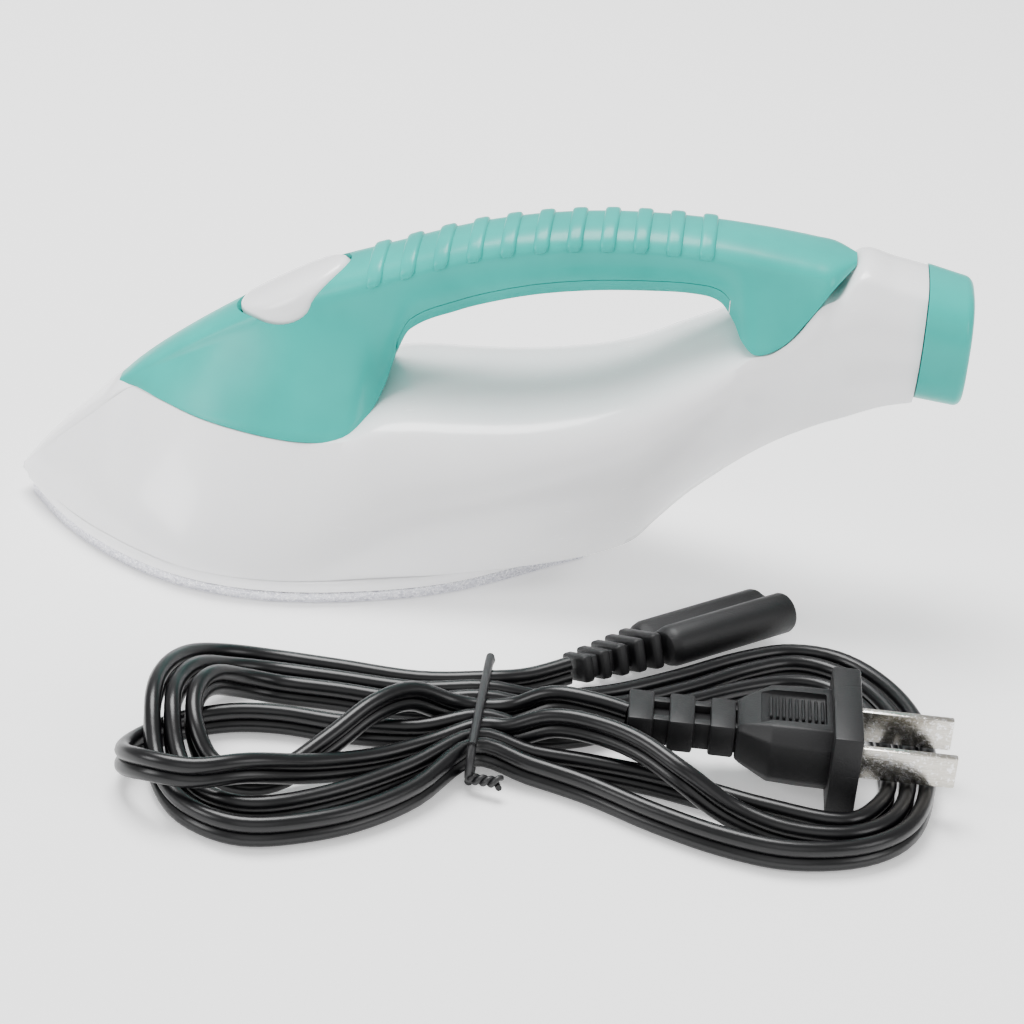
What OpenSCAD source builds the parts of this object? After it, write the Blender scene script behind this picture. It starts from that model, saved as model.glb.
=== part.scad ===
// Small electric hand iron with an arched handle, a push button and a detachable two-core mains lead.
// X runs from the pointed nose (-X) to the inlet cap (+X), Y is across, Z is up; the sole rests on z = 0.
// Origin: middle of the iron's own outer box, on the sole face. The lead lies beside the iron, at -Y.

/* [Sole and skirt] */
// Length of the leaf-shaped sole
sole_l = 116; // [115:0.5:117]
// Thickness of the sole's bright flange
sole_t = 2.4; // [2:0.1:2.6]
// Height of the white skirt above the sole's shadow gap
skirt_h = 2.3; // [2:0.1:2.5]
// Shadow gap between the sole flange and the skirt
skirt_gap = 0.4; // [0.2:0.1:0.6]

/* [Shells] */
// Wall thickness of the moulded shells
wall = 2; // [1.6:0.1:2.2]
// Gap at the seam between the body and the handle shell
seam = 0.2; // [0.1:0.05:0.3]

/* [Grip ridges] */
// Number of finger ridges
ridge_n = 11; // [5:1:11]
// Distance from one ridge to the next
ridge_pitch = 6.28; // [6:0.02:6.4]
// Width of a ridge
ridge_w = 3.1; // [2.5:0.1:3.4]
// How far a ridge stands proud of the handle
ridge_h = 0.9; // [0.5:0.1:1]

/* [Button and switch] */
// Length of the thumb button
button_l = 24; // [22:0.5:24]
// Width of the thumb button across the handle
button_w = 17; // [16:0.5:18]
// Radius of the button's hinge pin
pin_r = 1; // [0.9:0.05:1.1]

/* [Inlet and lead] */
// Distance between the two inlet pins
inlet_pitch = 8.6; // [8.4:0.1:8.8]
// Radius of an inlet pin
inlet_pin_r = 1.2; // [1.15:0.01:1.2]
// Width of the flat lead
cord_w = 5.8; // [5.4:0.1:5.8]
// Thickness of the flat lead
cord_t = 3; // [2.8:0.1:3.1]

/* [Hidden] */
$fn = 48;

// Stations of the leaf outline: distance from the nose tip, half width
LEAF = [[0, 0.6], [10, 14], [22, 25], [35, 32.2], [47.5, 34.8], [61, 33.8], [76, 29.3],
        [89, 23], [100, 14.6],
        [108, 7.5], [sole_l, 0.6]];
tip_x = -91;
skirt_z = sole_t + skirt_gap;
body_z = skirt_z + skirt_h;

// Crest of the object: x, height of the ridge line
CREST = [[-92, 6], [-88, 11.6], [-82, 18.4], [-77, 23.6], [-73, 27.8], [-69, 32], [-63, 37.2], [-54, 44],
         [-45, 50.1], [-37, 55], [-31, 58], [-25, 60.4], [-18, 63.2], [-10, 66.4], [0, 69.8], [10, 72.2],
         [20, 73.8], [30, 74.6], [40, 74.8], [50, 74.4], [60, 73.5], [70, 72], [83, 70], [92.25, 68.2]];

// Body stations: x, lower z, lower half width, side control half widths (low, high),
// shoulder half width, shoulder z, centre z of the closing top
BODY = [[-92, 5.1, 0.9, 0.8, 0.7, 0.6, 5.7, 6],
        [-88, 5.1, 6.5, 6.2, 5, 3, 10.6, 11.6],
        [-82, 5.1, 13, 12.5, 10, 4.5, 16.8, 18.4],
        [-77, 5.1, 18, 17, 13.5, 5.5, 21.7, 23.6],
        [-73, 5.1, 21.5, 20, 15, 6, 25.7, 27.8],
        [-69, 5.1, 24.5, 23, 15.5, 5, 28.4, 28.6],
        [-63, 5.1, 28.5, 27, 19, 10.5, 29, 29.1],
        [-54, 5.1, 33, 31.5, 23, 16.3, 28.8, 28.9],
        [-45, 5.1, 34.8, 33.5, 25.5, 19.5, 28.6, 28.7],
        [-37, 5.1, 34.6, 33.2, 26.5, 21, 28.5, 28.6],
        [-31, 5.1, 33.7, 32.4, 27, 21.3, 28.8, 28.88],
        [-25, 5.1, 32, 31.4, 27.5, 21.5, 30, 30.4],
        [-20, 5.1, 30.2, 30.6, 27.8, 21.8, 31.4, 34.4],
        [-14, 5.1, 28, 29.6, 28, 22, 32, 36.4],
        [-4, 5.1, 24.3, 28, 28, 22, 32.3, 37.4],
        [8, 5.1, 18.7, 26, 27, 21.7, 33.6, 38.8],
        [20, 5.1, 12, 22.5, 26, 21.2, 36, 41.6],
        [28, 5.25, 6, 19, 25.5, 20.6, 38.5, 44.6],
        [33, 6.3, 2, 16.5, 25, 20.2, 41, 47.2],
        [37, 12, 3, 15, 23.8, 19.6, 43.4, 49.6],
        [42, 18.6, 4, 14.2, 22.4, 18.6, 46.8, 52.2],
        [47, 24, 4.8, 14, 21, 17, 51.2, 54.6],
        [51, 28, 5.4, 13.8, 19.5, 15.3, 54.8, 55.2],
        [55, 31.5, 5.9, 13.5, 18, 14.4, 56, 56.1],
        [59, 34.6, 6.4, 13.3, 16.6, 12.9, 59.34, 59.39],
        [63, 37.2, 6.8, 13.2, 15.4, 10.8, 64.89, 64.94],
        [66, 39, 7.1, 13.1, 14.6, 9.2, 66.35, 66.4],
        [70, 41, 7.4, 13, 13.8, 8.6, 69.5, 72],
        [77, 44.5, 7.8, 13, 13.2, 8.8, 68.4, 71],
        [83, 46.4, 8, 13.2, 13.2, 9, 67.3, 70]];

// Handle stations: x, lower z, lower half width, side control half widths (low, high),
// shoulder half width, shoulder z
GRIP = [[-73, 27.2, 2.2, 2.1, 2, 1.8, 27.6],
        [-69, 28.4, 5, 4.8, 4.4, 3.8, 30.8],
        [-63, 29, 10.5, 9.5, 7.5, 5.5, 34.8],
        [-54, 28.8, 16.3, 13.5, 9.5, 6.6, 41],
        [-45, 28.6, 19.5, 15, 10, 7.6, 46.6],
        [-37, 28.5, 21, 15.5, 10, 8.3, 51.2],
        [-31, 28.8, 21.3, 15, 9.8, 8.6, 54],
        [-26, 30, 20.5, 14, 9.6, 8.7, 56.2],
        [-23, 33.5, 17.6, 12, 9.4, 8.7, 57.4],
        [-21, 39, 13, 10, 9.1, 8.7, 58.2],
        [-19, 44, 8, 8.8, 8.9, 8.7, 59],
        [-15, 48.2, 6.2, 8.4, 8.8, 8.7, 60.8],
        [-6, 53.4, 6.2, 8.3, 8.7, 8.6, 64.4],
        [2, 56.6, 6.2, 8.2, 8.6, 8.6, 66.8],
        [10, 59, 6.2, 8.2, 8.6, 8.6, 68.8],
        [20, 61, 6.2, 8.2, 8.7, 8.6, 70.4],
        [30, 62.2, 6.2, 8.3, 8.8, 8.7, 71.2],
        [39, 62.8, 6.4, 8.5, 9, 8.9, 71.3],
        [44, 62.2, 7.4, 9, 9.3, 9, 71.2],
        [47, 59.6, 10, 10.2, 9.9, 9.2, 70.9],
        [49, 57, 13.2, 11.8, 10.4, 9.3, 70.7],
        [52, 55.4, 15, 13, 11, 9.6, 70.3],
        [57, 57.6, 13.8, 12.8, 11.2, 9.8, 69.8],
        [61, 62.5, 12, 11.5, 10.8, 9.8, 69.6],
        [65, 68.2, 9.6, 9.5, 9.3, 8.8, 70.2],
        [69.5, 71.4, 2.2, 2.1, 2, 1.8, 71.7]];

// Smooth value of column c of the stations P at x: a cubic through the stations' own slopes
function span(P, x, k = 0) = k >= len(P) - 2 || x <= P[k + 1][0] ? k : span(P, x, k + 1);
function slope(P, k, c) = let(a = max(k - 1, 0), b = min(k + 1, len(P) - 1))
    (P[b][c] - P[a][c]) / (P[b][0] - P[a][0]);
function along(P, x, c = 1) = x <= P[0][0] ? P[0][c] : x >= P[len(P) - 1][0] ? P[len(P) - 1][c] :
    let(k = span(P, x), h = P[k + 1][0] - P[k][0], t = (x - P[k][0]) / h)
    (2 * t * t * t - 3 * t * t + 1) * P[k][c] + (t * t * t - 2 * t * t + t) * h * slope(P, k, c)
    + (3 * t * t - 2 * t * t * t) * P[k + 1][c] + (t * t * t - t * t) * h * slope(P, k + 1, c);

function bez(A, B, C, D, t) = pow(1 - t, 3) * A + 3 * t * pow(1 - t, 2) * B
    + 3 * t * t * (1 - t) * C + pow(t, 3) * D;
function steps(n) = [for (i = [0:n]) i / n];

// Half of a section as [y, z] points, from the lower edge up the side and over to the centre line.
// d is how far the half section is drawn inwards, for the inside of a wall.
function half_section(lo_w, lo_z, c1, c2, sh_w, sh_z, top_z, d, ns, nt) =
    let(h = sh_z - lo_z)
    concat([for (t = steps(ns))
                let(p = bez([lo_w, lo_z], [c1, lo_z + 0.33 * h], [c2, lo_z + 0.7 * h], [sh_w, sh_z], t))
                [max(p[0] - d, 0.3), p[1] - d * t]],
           [for (t = steps(nt)) if (t > 0)
                let(p = bez([sh_w, sh_z], [sh_w - 0.1 * (sh_w - c2) - 0.12 * sh_w, sh_z + 0.75 * (top_z - sh_z)],
                            [0.5 * sh_w, top_z], [0, top_z], t))
                [max(p[0] - d * (1 - t), 0), p[1] - d]]);
function ring(x, half) = concat([for (p = half) [x, p[0], p[1]]],
                                [for (i = [len(half) - 2:-1:0]) [x, -half[i][0], half[i][1]]]);

function body_half(x, d, drop, ns, nt) = half_section(
    along(BODY, x, 2), along(BODY, x, 1) - drop, along(BODY, x, 3), along(BODY, x, 4),
    along(BODY, x, 5), along(BODY, x, 6), along(BODY, x, 7), d, ns, nt);
function grip_half(x, d, drop, ns, nt) = half_section(
    along(GRIP, x, 2), along(GRIP, x, 1) - drop, along(GRIP, x, 3), along(GRIP, x, 4),
    along(GRIP, x, 5), along(GRIP, x, 6), along(CREST, x), d, ns, nt);

// A closed skin over equal rings, with flat ends
module skin(rings) {
    n = len(rings[0]);
    m = len(rings);
    polyhedron(
        points = [for (r = rings) each r],
        faces = concat([[for (i = [0:n - 1]) i]],
                       [for (k = [0:m - 2], i = [0:n - 1]) let(j = (i + 1) % n)
                            [k * n + j, k * n + i, k * n + n + i, k * n + n + j]],
                       [[for (i = [n - 1:-1:0]) (m - 1) * n + i]]),
        convexity = 8);
}
function range_x(a, b, n) = [for (i = [0:n]) a + (b - a) * i / n];
BODY_X = concat(range_x(-92, -68, 10), range_x(-64, 32, 24), range_x(34, 83, 15));
GRIP_X = concat(range_x(-73, -28, 14), range_x(-26, -14, 8), range_x(-10, 38, 12), range_x(42, 54, 7),
                range_x(57, 69.5, 5));
module body_form(d, drop, xs) skin([for (x = xs) ring(x, body_half(x, d, drop, 7, 4))]);
module grip_form(d, drop, xs) skin([for (x = xs) ring(x, grip_half(x, d, drop, 6, 4))]);
// A half section whose lower edge is carried straight down by drop, or closed by a floor if drop is negative
function opened(half, drop) = let(z = half[0][1] - drop)
    concat([[half[0][0] - 0.05, z]], [for (p = half) [p[0], max(p[1], z + (drop < 0 ? 0.01 : -99))]]);
function within(list, a, b) = concat([a], [for (x = list) if (x > a + 0.4 && x < b - 0.4) x], [b]);

// Leaf outline drawn in by d
function leaf_edge(s, d) = let(w = along(LEAF, s)) max(w - d * (1 + 0.25 * pow(abs(s / sole_l - 0.4) / 0.6, 2)), 0.3);
function leaf_points(d, n) = let(a = d * 1.6, b = sole_l - d * 2.2)
    concat([for (i = [0:n]) let(s = a + (b - a) * (1 - cos(180 * i / n)) / 2) [tip_x + s, leaf_edge(s, d)]],
           [for (i = [n:-1:0]) let(s = a + (b - a) * (1 - cos(180 * i / n)) / 2) [tip_x + s, -leaf_edge(s, d)]]);
module leaf(d, z, h, n = 30) translate([0, 0, z]) linear_extrude(height = h) polygon(leaf_points(d, n));

// Fixing points over the sole, and the heights inside the body
BOSSES = [[-36, 22.5], [-36, -22.5]];
nose_boss = [-66, 0];
cast_z = 8;
lip_h = 2;
boss_z = 14;
shield_t = 0.8;
shield_top = boss_z + shield_t;
element_r = 3.2;
element_z = 7.5;
element_leg_y = 13;
element_front_x = -47;
element_rear_x = -10;
terminal_r = 1.1;
stack_x = -34;
fuse_z = cast_z + 2.1;

module soleplate() {
    color([0.8, 0.8, 0.82]) difference() {
        union() {
            leaf(0.8, 0, sole_t);
            leaf(6.5, sole_t - 0.1, cast_z - sole_t + 0.1);
            for (b = concat(BOSSES, [nose_boss])) translate([b[0], b[1], cast_z - 0.1])
                cylinder(r = 3.4, h = boss_z - cast_z + 0.1);
        }
        for (b = concat(BOSSES, [nose_boss])) translate([b[0], b[1], 5]) cylinder(r = 1.25, h = boss_z);
        element_path(element_r + 0.05);
        translate([stack_x, 0, 5.5]) cylinder(r = 1.25, h = 5);
        for (s = [-1, 1]) translate([element_rear_x - 0.1, s * element_leg_y - 3.4, 4])
            cube([20, 6.8, 10]);
    }
}

// U-shaped run of the sheathed heating element
module element_path(r) {
    for (s = [-1, 1]) translate([element_front_x, s * element_leg_y, element_z]) rotate([0, 90, 0])
        cylinder(r = r, h = element_rear_x - element_front_x);
    translate([element_front_x, 0, element_z]) rotate([0, 0, 90])
        rotate_extrude(angle = 180) translate([element_leg_y, 0]) circle(r = r);
}
module heating_element() {
    color([0.62, 0.6, 0.56]) element_path(element_r);
}
module element_terminals() {
    color([0.75, 0.72, 0.6]) for (s = [-1, 1]) translate([element_rear_x, s * element_leg_y, element_z]) {
        rotate([0, 90, 0]) cylinder(r = 2.4, h = 2.4);
        translate([2.4, 0, 0]) rotate([0, 90, 0]) cylinder(r = terminal_r, h = 4);
        translate([6, -2.4, -0.4]) cube([6.5, 4.8, 0.8]);
    }
}

module heat_shield() {
    color([0.7, 0.71, 0.72]) difference() {
        leaf(8.2, boss_z, shield_t);
        for (b = BOSSES) translate([b[0], b[1], boss_z - 1]) cylinder(r = 1.7, h = 3);
        translate([nose_boss[0], nose_boss[1], boss_z - 1]) cylinder(r = 4.2, h = 3);
        translate([-44, -8, boss_z - 1]) cube([26, 16, 3]);
        translate([11, 6.5, boss_z - 1]) cylinder(r = 2.5, h = 3);
    }
}

module sole_skirt() {
    color([0.95, 0.95, 0.95]) difference() {
        union() {
            leaf(0, skirt_z, skirt_h);
            leaf(3.1, skirt_z + skirt_h - 0.1, lip_h);
        }
        leaf(5.1, skirt_z - 1, boss_z);
    }
}

// Pan-head screw, standing on z = 0 with its thread downwards
module pan_screw(r, length, head_r, head_h) {
    difference() {
        cylinder(r = head_r, h = head_h);
        for (a = [0, 90]) rotate([0, 0, a]) translate([-head_r * 0.6, -0.3, head_h - 0.7])
            cube([head_r * 1.2, 0.6, 1]);
    }
    translate([0, 0, -length]) cylinder(r = r, h = length + 0.2);
}
module shield_screws() {
    color([0.72, 0.72, 0.74]) for (b = BOSSES) translate([b[0], b[1], shield_top])
        pan_screw(1.2, 8.5, 2.8, 1.8);
}

// Posts inside the handle shell that its two screws reach: x, height of the ledge below, top of the post
HANDLE_POSTS = [[-57, 28.9, 39], [53, 55.5, 72]];

// Height of the white ledge under the front foot, and the post that holds the shell down
ledge_z = 28.6;
post_r = 4.2;

module body_shell() {
    color([0.95, 0.95, 0.96]) difference() {
        union() {
            difference() {
                body_form(0, 0, within(BODY_X, -92, 83));
                skin([for (x = within(BODY_X, -86.6, 28.5))
                    ring(x, opened(body_half(x, wall, 0, 7, 4), x < -86 || x > 19 ? -wall : 3))]);
                skin([for (x = within(BODY_X, 28, 90)) ring(min(x, 90), body_half(x, wall, -wall, 7, 4))]);
            }
            translate([nose_boss[0], 0, boss_z + 0.2]) cylinder(r = post_r, h = ledge_z - 1 - boss_z);
        }
        translate([nose_boss[0], 0, 0]) cylinder(r = 1.7, h = 60);
        translate([nose_boss[0], 0, 24]) cylinder(r = 3.1, h = 30);
        translate([-38, 0, 20]) cylinder(r = 5, h = 30);
        translate([58, 0, 50]) cylinder(r = 2.6, h = 12);
        for (p = HANDLE_POSTS) translate([p[0], 0, p[1] - 4]) cylinder(r = 1.7, h = 8);
    }
}
module body_screw() {
    color([0.72, 0.72, 0.74]) translate([nose_boss[0], 0, 24]) pan_screw(1.2, 16, 2.8, 1.9);
}

// Thumb button frame: a point on the crest and the slope of the crest there
button_x = -40;
button_slope = 32;
module on_crest() translate([button_x, 0, along(CREST, button_x)]) rotate([0, -button_slope, 0]) children();
// Outline of the button seen along the crest's normal, grown by g
module button_outline(g) {
    n = 48;
    polygon([for (i = [0:n - 1]) let(a = 360 * i / n, u = cos(a))
        [(button_l / 2 + g) * u + 0.8, (button_w / 2 + g) * sin(a) * (1 - 0.08 * u)]]);
}

liner_h = 3;
module ridges() {
    for (i = [0:ridge_n - 1]) {
        x = -22.4 + i * ridge_pitch;
        a = atan((along(CREST, x + 1) - along(CREST, x - 1)) / 2);
        w = along(GRIP, x, 5);
        h = along(CREST, x) - along(GRIP, x, 6);
        translate([x, 0, along(GRIP, x, 6)]) rotate([0, -a, 0]) translate([ridge_w / 2, 0, 0])
            rotate([0, -90, 0]) linear_extrude(height = ridge_w) ridge_section(w, h * cos(a));
    }
}
module ridge_section(w, h) polygon(concat(
    [[-0.1, w - 0.6], [-0.3, w + ridge_h * 0.6], [0.3, w + ridge_h]],
    [for (a = [12:12:168]) [(h + ridge_h) * pow(sin(a), 0.75), (w + ridge_h) * cos(a)]],
    [[0.3, -w - ridge_h], [-0.3, -w - ridge_h * 0.6], [-0.1, -w + 0.6]],
    [for (a = [170:-32:10]) [(h - 1) * sin(a), (w - 1) * cos(a)]]));

module handle_top_shell() {
    color([0.13, 0.78, 0.74]) difference() {
        union() {
            difference() {
                grip_form(0, -seam, within(GRIP_X, -72.5, 69));
                skin([for (x = within(GRIP_X, -64.1, 63.5)) ring(x, grip_half(x, wall, x < -64 ? -1 : 6, 6, 4))]);
            }
            ridges();
            for (p = HANDLE_POSTS) translate([p[0], 0, p[1] + 0.6]) cylinder(r = 3, h = p[2] - p[1] - 0.6);
        }
        handle_window();
        for (p = HANDLE_POSTS) translate([p[0], 0, p[1] - 1]) cylinder(r = 1.25, h = 8);
        on_crest() translate([0, 0, -13]) linear_extrude(height = 20) button_outline(0.6);
    }
}
// Room for the lower shell along the underside of the arch
module handle_window() {
    skin([for (x = within(GRIP_X, -20.5, 46)) let(z = along(GRIP, x, 1), w = along(GRIP, x, 3) + 3)
        [[x, w, z - 4], [x, w, z + liner_h], [x, -w, z + liner_h], [x, -w, z - 4]]]);
}
module handle_lower_shell() {
    color([0.12, 0.74, 0.7]) difference() {
        skin([for (x = within(GRIP_X, -20.2, 45.7))
            let(z = along(GRIP, x, 1) + 0.1, w = along(GRIP, x, 2), v = along(GRIP, x, 3) - 0.4)
            [[x, w - 1.6, z], [x, w, z + 0.7], [x, v - 0.3, z + liner_h - 0.3],
             [x, -v + 0.3, z + liner_h - 0.3], [x, -w, z + 0.7], [x, -w + 1.6, z]]]);
        skin([for (x = within(GRIP_X, -21, 46))
            let(z = along(GRIP, x, 1), v = along(GRIP, x, 3) - 2.4)
            [[x, v - 1, z + 1.6], [x, v, z + 5], [x, -v, z + 5], [x, -v + 1, z + 1.6]]]);
    }
}
module handle_screws() {
    color([0.72, 0.72, 0.74]) for (p = HANDLE_POSTS) translate([p[0], 0, p[1] - wall - 0.5])
        rotate([180, 0, 0]) pan_screw(1.2, 8, 2.6, 1.6);
}

// Button hinge, spring and switch: all stand on one horizontal bracket under the button
hinge_x = -48.6;
hinge_z = 40.8;
ear_y = 2.4;
lug_y = 4.1;
bracket_z = 34;
bracket_t = 1.6;
plunger_x = -33;
spring_x = -42;
spring_r = 2.2;
spring_top = 42.2;
module power_button() {
    color([0.96, 0.96, 0.97]) {
        difference() {
            intersection() {
                button_form(0.45);
                on_crest() translate([0, 0, -10]) linear_extrude(height = 20) button_outline(0);
            }
            button_form(-1.9);
            on_crest() translate([-20, -20, -26.5]) cube([40, 40, 20]);
        }
        for (s = [-1, 1]) difference() {
            union() {
                translate([hinge_x, s * ear_y - 0.8, hinge_z]) rotate([-90, 0, 0]) cylinder(r = 2.2, h = 1.6);
                translate([hinge_x + 0.4, s * ear_y - 0.8, hinge_z]) cube([3.4, 1.6, 6]);
            }
            translate([hinge_x, s * ear_y - 2, hinge_z]) rotate([-90, 0, 0])
                cylinder(r = pin_r + 0.05, h = 4);
        }
        translate([plunger_x, 0, 47.9]) cylinder(r = 1.8, h = 7.5);
        translate([spring_x, 0, spring_top + 0.1]) cylinder(r = 2.6, h = 8);
    }
}
// Skin of the handle over the button's length, grown by g (negative draws it in)
module button_form(g) skin([for (x = range_x(-58, -22, 12))
    ring(x, [for (p = half_section(along(GRIP, x, 2) + g, along(GRIP, x, 1), along(GRIP, x, 3) + g,
        along(GRIP, x, 4) + g, along(GRIP, x, 5) + g, along(GRIP, x, 6) + g, along(CREST, x) + g * 1.2,
        0, 6, 4)) p])]);
module button_hinge_pin() {
    color([0.7, 0.7, 0.72]) translate([hinge_x, -4.9, hinge_z]) rotate([-90, 0, 0]) cylinder(r = pin_r, h = 9.8);
}
module switch_bracket() {
    color([0.2, 0.2, 0.22]) difference() {
        union() {
            translate([-52, -7.4, bracket_z]) cube([26, 14.8, bracket_t]);
            for (s = [-1, 1]) translate([hinge_x - 2, s * lug_y - 0.6, bracket_z + 1])
                cube([4, 1.2, hinge_z - bracket_z + 0.5]);
            for (s = [-1, 1]) translate([-38, s * 5.4, ledge_z + 0.3]) cylinder(r = 2, h = bracket_z - ledge_z);
            translate([spring_x, 0, bracket_z + 1]) cylinder(r = 1.1, h = 2.4);
        }
        translate([hinge_x, -12, hinge_z]) rotate([-90, 0, 0]) cylinder(r = pin_r, h = 24);
        translate([-38, 0, bracket_z - 1]) cylinder(r = 2.6, h = 1.8);
        translate([-46.2, 0, bracket_z - 1]) cylinder(r = 1.6, h = 4);
    }
}
// Coil spring from the bracket to the button's boss
SPRING_TURNS = 4;
module button_spring() {
    z0 = bracket_z + bracket_t + 0.05;
    wire = 0.35;
    h = spring_top - z0 - 2 * wire;
    n = SPRING_TURNS * 14;
    color([0.75, 0.75, 0.77]) skin([for (i = [0:n]) let(a = i * 360 * SPRING_TURNS / n, z = z0 + wire + h * i / n)
        [for (b = [0:60:300]) [spring_x + (spring_r - wire + wire * cos(b)) * cos(a),
                               (spring_r - wire + wire * cos(b)) * sin(a), z - wire * sin(b)]]]);
}
module switch_body() {
    color([0.1, 0.1, 0.11]) difference() {
        translate([plunger_x - 5, -4, bracket_z + bracket_t]) cube([10, 8, 8]);
        translate([plunger_x, 0, 37.5]) cylinder(r = 1.6, h = 10);
    }
}
module switch_plunger() {
    color([0.8, 0.2, 0.15]) translate([plunger_x, 0, 39.2]) cylinder(r = 1.55, h = 8.4);
}
module switch_terminals() {
    color([0.82, 0.68, 0.35]) for (s = [-1, 1]) translate([plunger_x + 5.02, s * 2 - 0.9, bracket_z + 3.6])
        cube([2.75, 1.8, 0.8]);
}

module thermostat_base() {
    color([0.9, 0.87, 0.8]) difference() {
        union() {
            translate([-40, -5, cast_z]) cube([16, 10, 1]);
            translate([stack_x, 0, cast_z + 1]) cylinder(r = 3.6, h = 4);
            translate([stack_x, 0, cast_z + 6.2]) cylinder(r = 3.6, h = 3);
        }
        translate([stack_x, 0, cast_z - 1]) cylinder(r = 1.25, h = 12);
    }
    color([0.72, 0.72, 0.74]) translate([stack_x, 0, cast_z + 9.2]) pan_screw(1.2, 11, 2.6, 1.6);
}
module thermostat_blades() {
    color([0.8, 0.66, 0.4]) difference() {
        union() {
            translate([-38, -2.6, cast_z + 5]) cube([22, 5.2, 0.6]);
            translate([-42, -2.6, cast_z + 5.6]) cube([11.6, 5.2, 0.6]);
            translate([-20, 0, cast_z + 5.5]) cylinder(r = 1.4, h = 0.9);
        }
        translate([stack_x, 0, cast_z + 1]) cylinder(r = 1.25, h = 12);
    }
}
module thermal_fuse() {
    color([0.85, 0.82, 0.7]) {
        translate([-4, 0, fuse_z]) rotate([0, 90, 0]) cylinder(r = 2, h = 12);
        translate([8, 0, fuse_z]) rotate([0, 90, 0]) cylinder(r = 0.6, h = 1.2);
        translate([-7, 0, fuse_z]) rotate([0, 90, 0]) cylinder(r = 0.6, h = 3.1);
    }
}
module fuse_clamp() {
    color([0.7, 0.71, 0.72]) difference() {
        union() {
            translate([0, 0, fuse_z]) rotate([0, 90, 0]) cylinder(r = 2.7, h = 4);
            translate([0, -2.7, cast_z]) cube([4, 5.4, 2]);
            translate([0, -7.5, cast_z]) cube([4, 15, 0.7]);
        }
        translate([-1, 0, fuse_z]) rotate([0, 90, 0]) cylinder(r = 2.02, h = 6);
        translate([-1, -9, cast_z - 5]) cube([6, 18, 5]);
    }
}

// Round wire of radius r through the points
function unit(v) = v / norm(v);
function knot(P, i) = P[min(max(i, 0), len(P) - 1)];
function through(P, s) = let(i = min(floor(s), len(P) - 2), t = s - i,
    a = knot(P, i - 1), b = knot(P, i), c = knot(P, i + 1), d = knot(P, i + 2))
    b + t * (c - a) / 2 + t * t * (a - 2.5 * b + 2 * c - d / 2) + t * t * t * (1.5 * b - a / 2 - 1.5 * c + d / 2);
function heading(P, s) = unit(through(P, min(s + 0.05, len(P) - 1)) - through(P, max(s - 0.05, 0)));
// The sideways direction carried along the headings H without twisting
function carried(H, side, i = 0) = i == len(H) ? [] :
    let(v = unit(side - (side * H[i]) * H[i])) concat([v], carried(H, v, i + 1));
module tube(P, r, per) {
    S = [for (i = [0:(len(P) - 1) * per]) i / per];
    H = [for (s = S) heading(P, s)];
    V = carried(H, [0.2, 0.9, 0.3]);
    skin([for (i = [0:len(S) - 1]) let(c = through(P, S[i]), up = cross(V[i], H[i]))
          [for (a = [0:45:315]) c + r * (cos(a) * V[i] - sin(a) * up)]]);
}
wire_r = 0.9;
WIRE_LIVE = [[65.8, -4.3, 57.6], [62, -3.8, 55.6], [58.8, -1.2, 56.4], [57.4, -2, 61], [53, -4.8, 65.6],
             [46, -2.5, 67.4], [30, -1.5, 68.6], [10, -1.5, 66.2], [-6, -1.5, 61], [-17, -2, 54.6],
             [-21.5, -2.6, 47], [-24, -2, 40.6], [-24.5, -2, 38.9]];
WIRE_SWITCHED = [[-24.5, 2, 38.9], [-23.4, 2.4, 34.5], [-28, 1.6, 31.6], [-36, 0.5, 28], [-42, 0, 22.5],
                 [-42.5, 0, 17.5], [-41, 0, 15.1]];
WIRE_NEUTRAL = [[65.8, 4.3, 57.6], [60, 5, 52], [48, 7, 42], [30, 9, 29], [17, 9.6, 20.5], [11.6, 6.8, 15.6],
                [10.6, 4.6, 12], [10.2, 1.2, 10.2]];
WIRE_FUSED = [[-7.9, 0, 10.1], [-10, 2.4, 10.6], [-8.6, 6.4, 11.2], [-4, 10, 11.4], [-0.6, 12.4, 10.6],
              [0.4, 13, 8.9]];
WIRE_HEATER = [[-17.4, -1.5, 12], [-13.4, -4.6, 11.8], [-7, -9, 11.4], [-1.4, -12.2, 10.6], [0.4, -13, 8.9]];
module wire_live() {
    color([0.45, 0.25, 0.12]) tube(WIRE_LIVE, wire_r, 3);
}
module wire_switched() {
    color([0.1, 0.1, 0.1]) tube(WIRE_SWITCHED, wire_r, 3);
}
module wire_neutral() {
    color([0.15, 0.3, 0.7]) tube(WIRE_NEUTRAL, wire_r, 3);
}
module wire_fused() {
    color([0.85, 0.85, 0.8]) tube(WIRE_FUSED, wire_r, 3);
}

module wire_heater() {
    color([0.85, 0.85, 0.8]) tube(WIRE_HEATER, wire_r, 3);
}

// Inlet: a two-lobed socket in the cap, its mouth at the rear
inlet_z = 57.6;
pin_root_r = 1.6;
mouth_x = 92.25;
cap_x = 83.2;
module two_lobes(r, h) {
    for (s = [-1, 1]) translate([0, s * inlet_pitch / 2, 0]) rotate([0, 90, 0]) cylinder(r = r, h = h);
    translate([0, -inlet_pitch / 2, -r * 0.86]) cube([h, inlet_pitch, r * 1.72]);
}
cap_w = 12.7;
cap_h = 12;
cap_z = 58;
function lump(a, p) = sign(a) * pow(abs(a), p);
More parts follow.
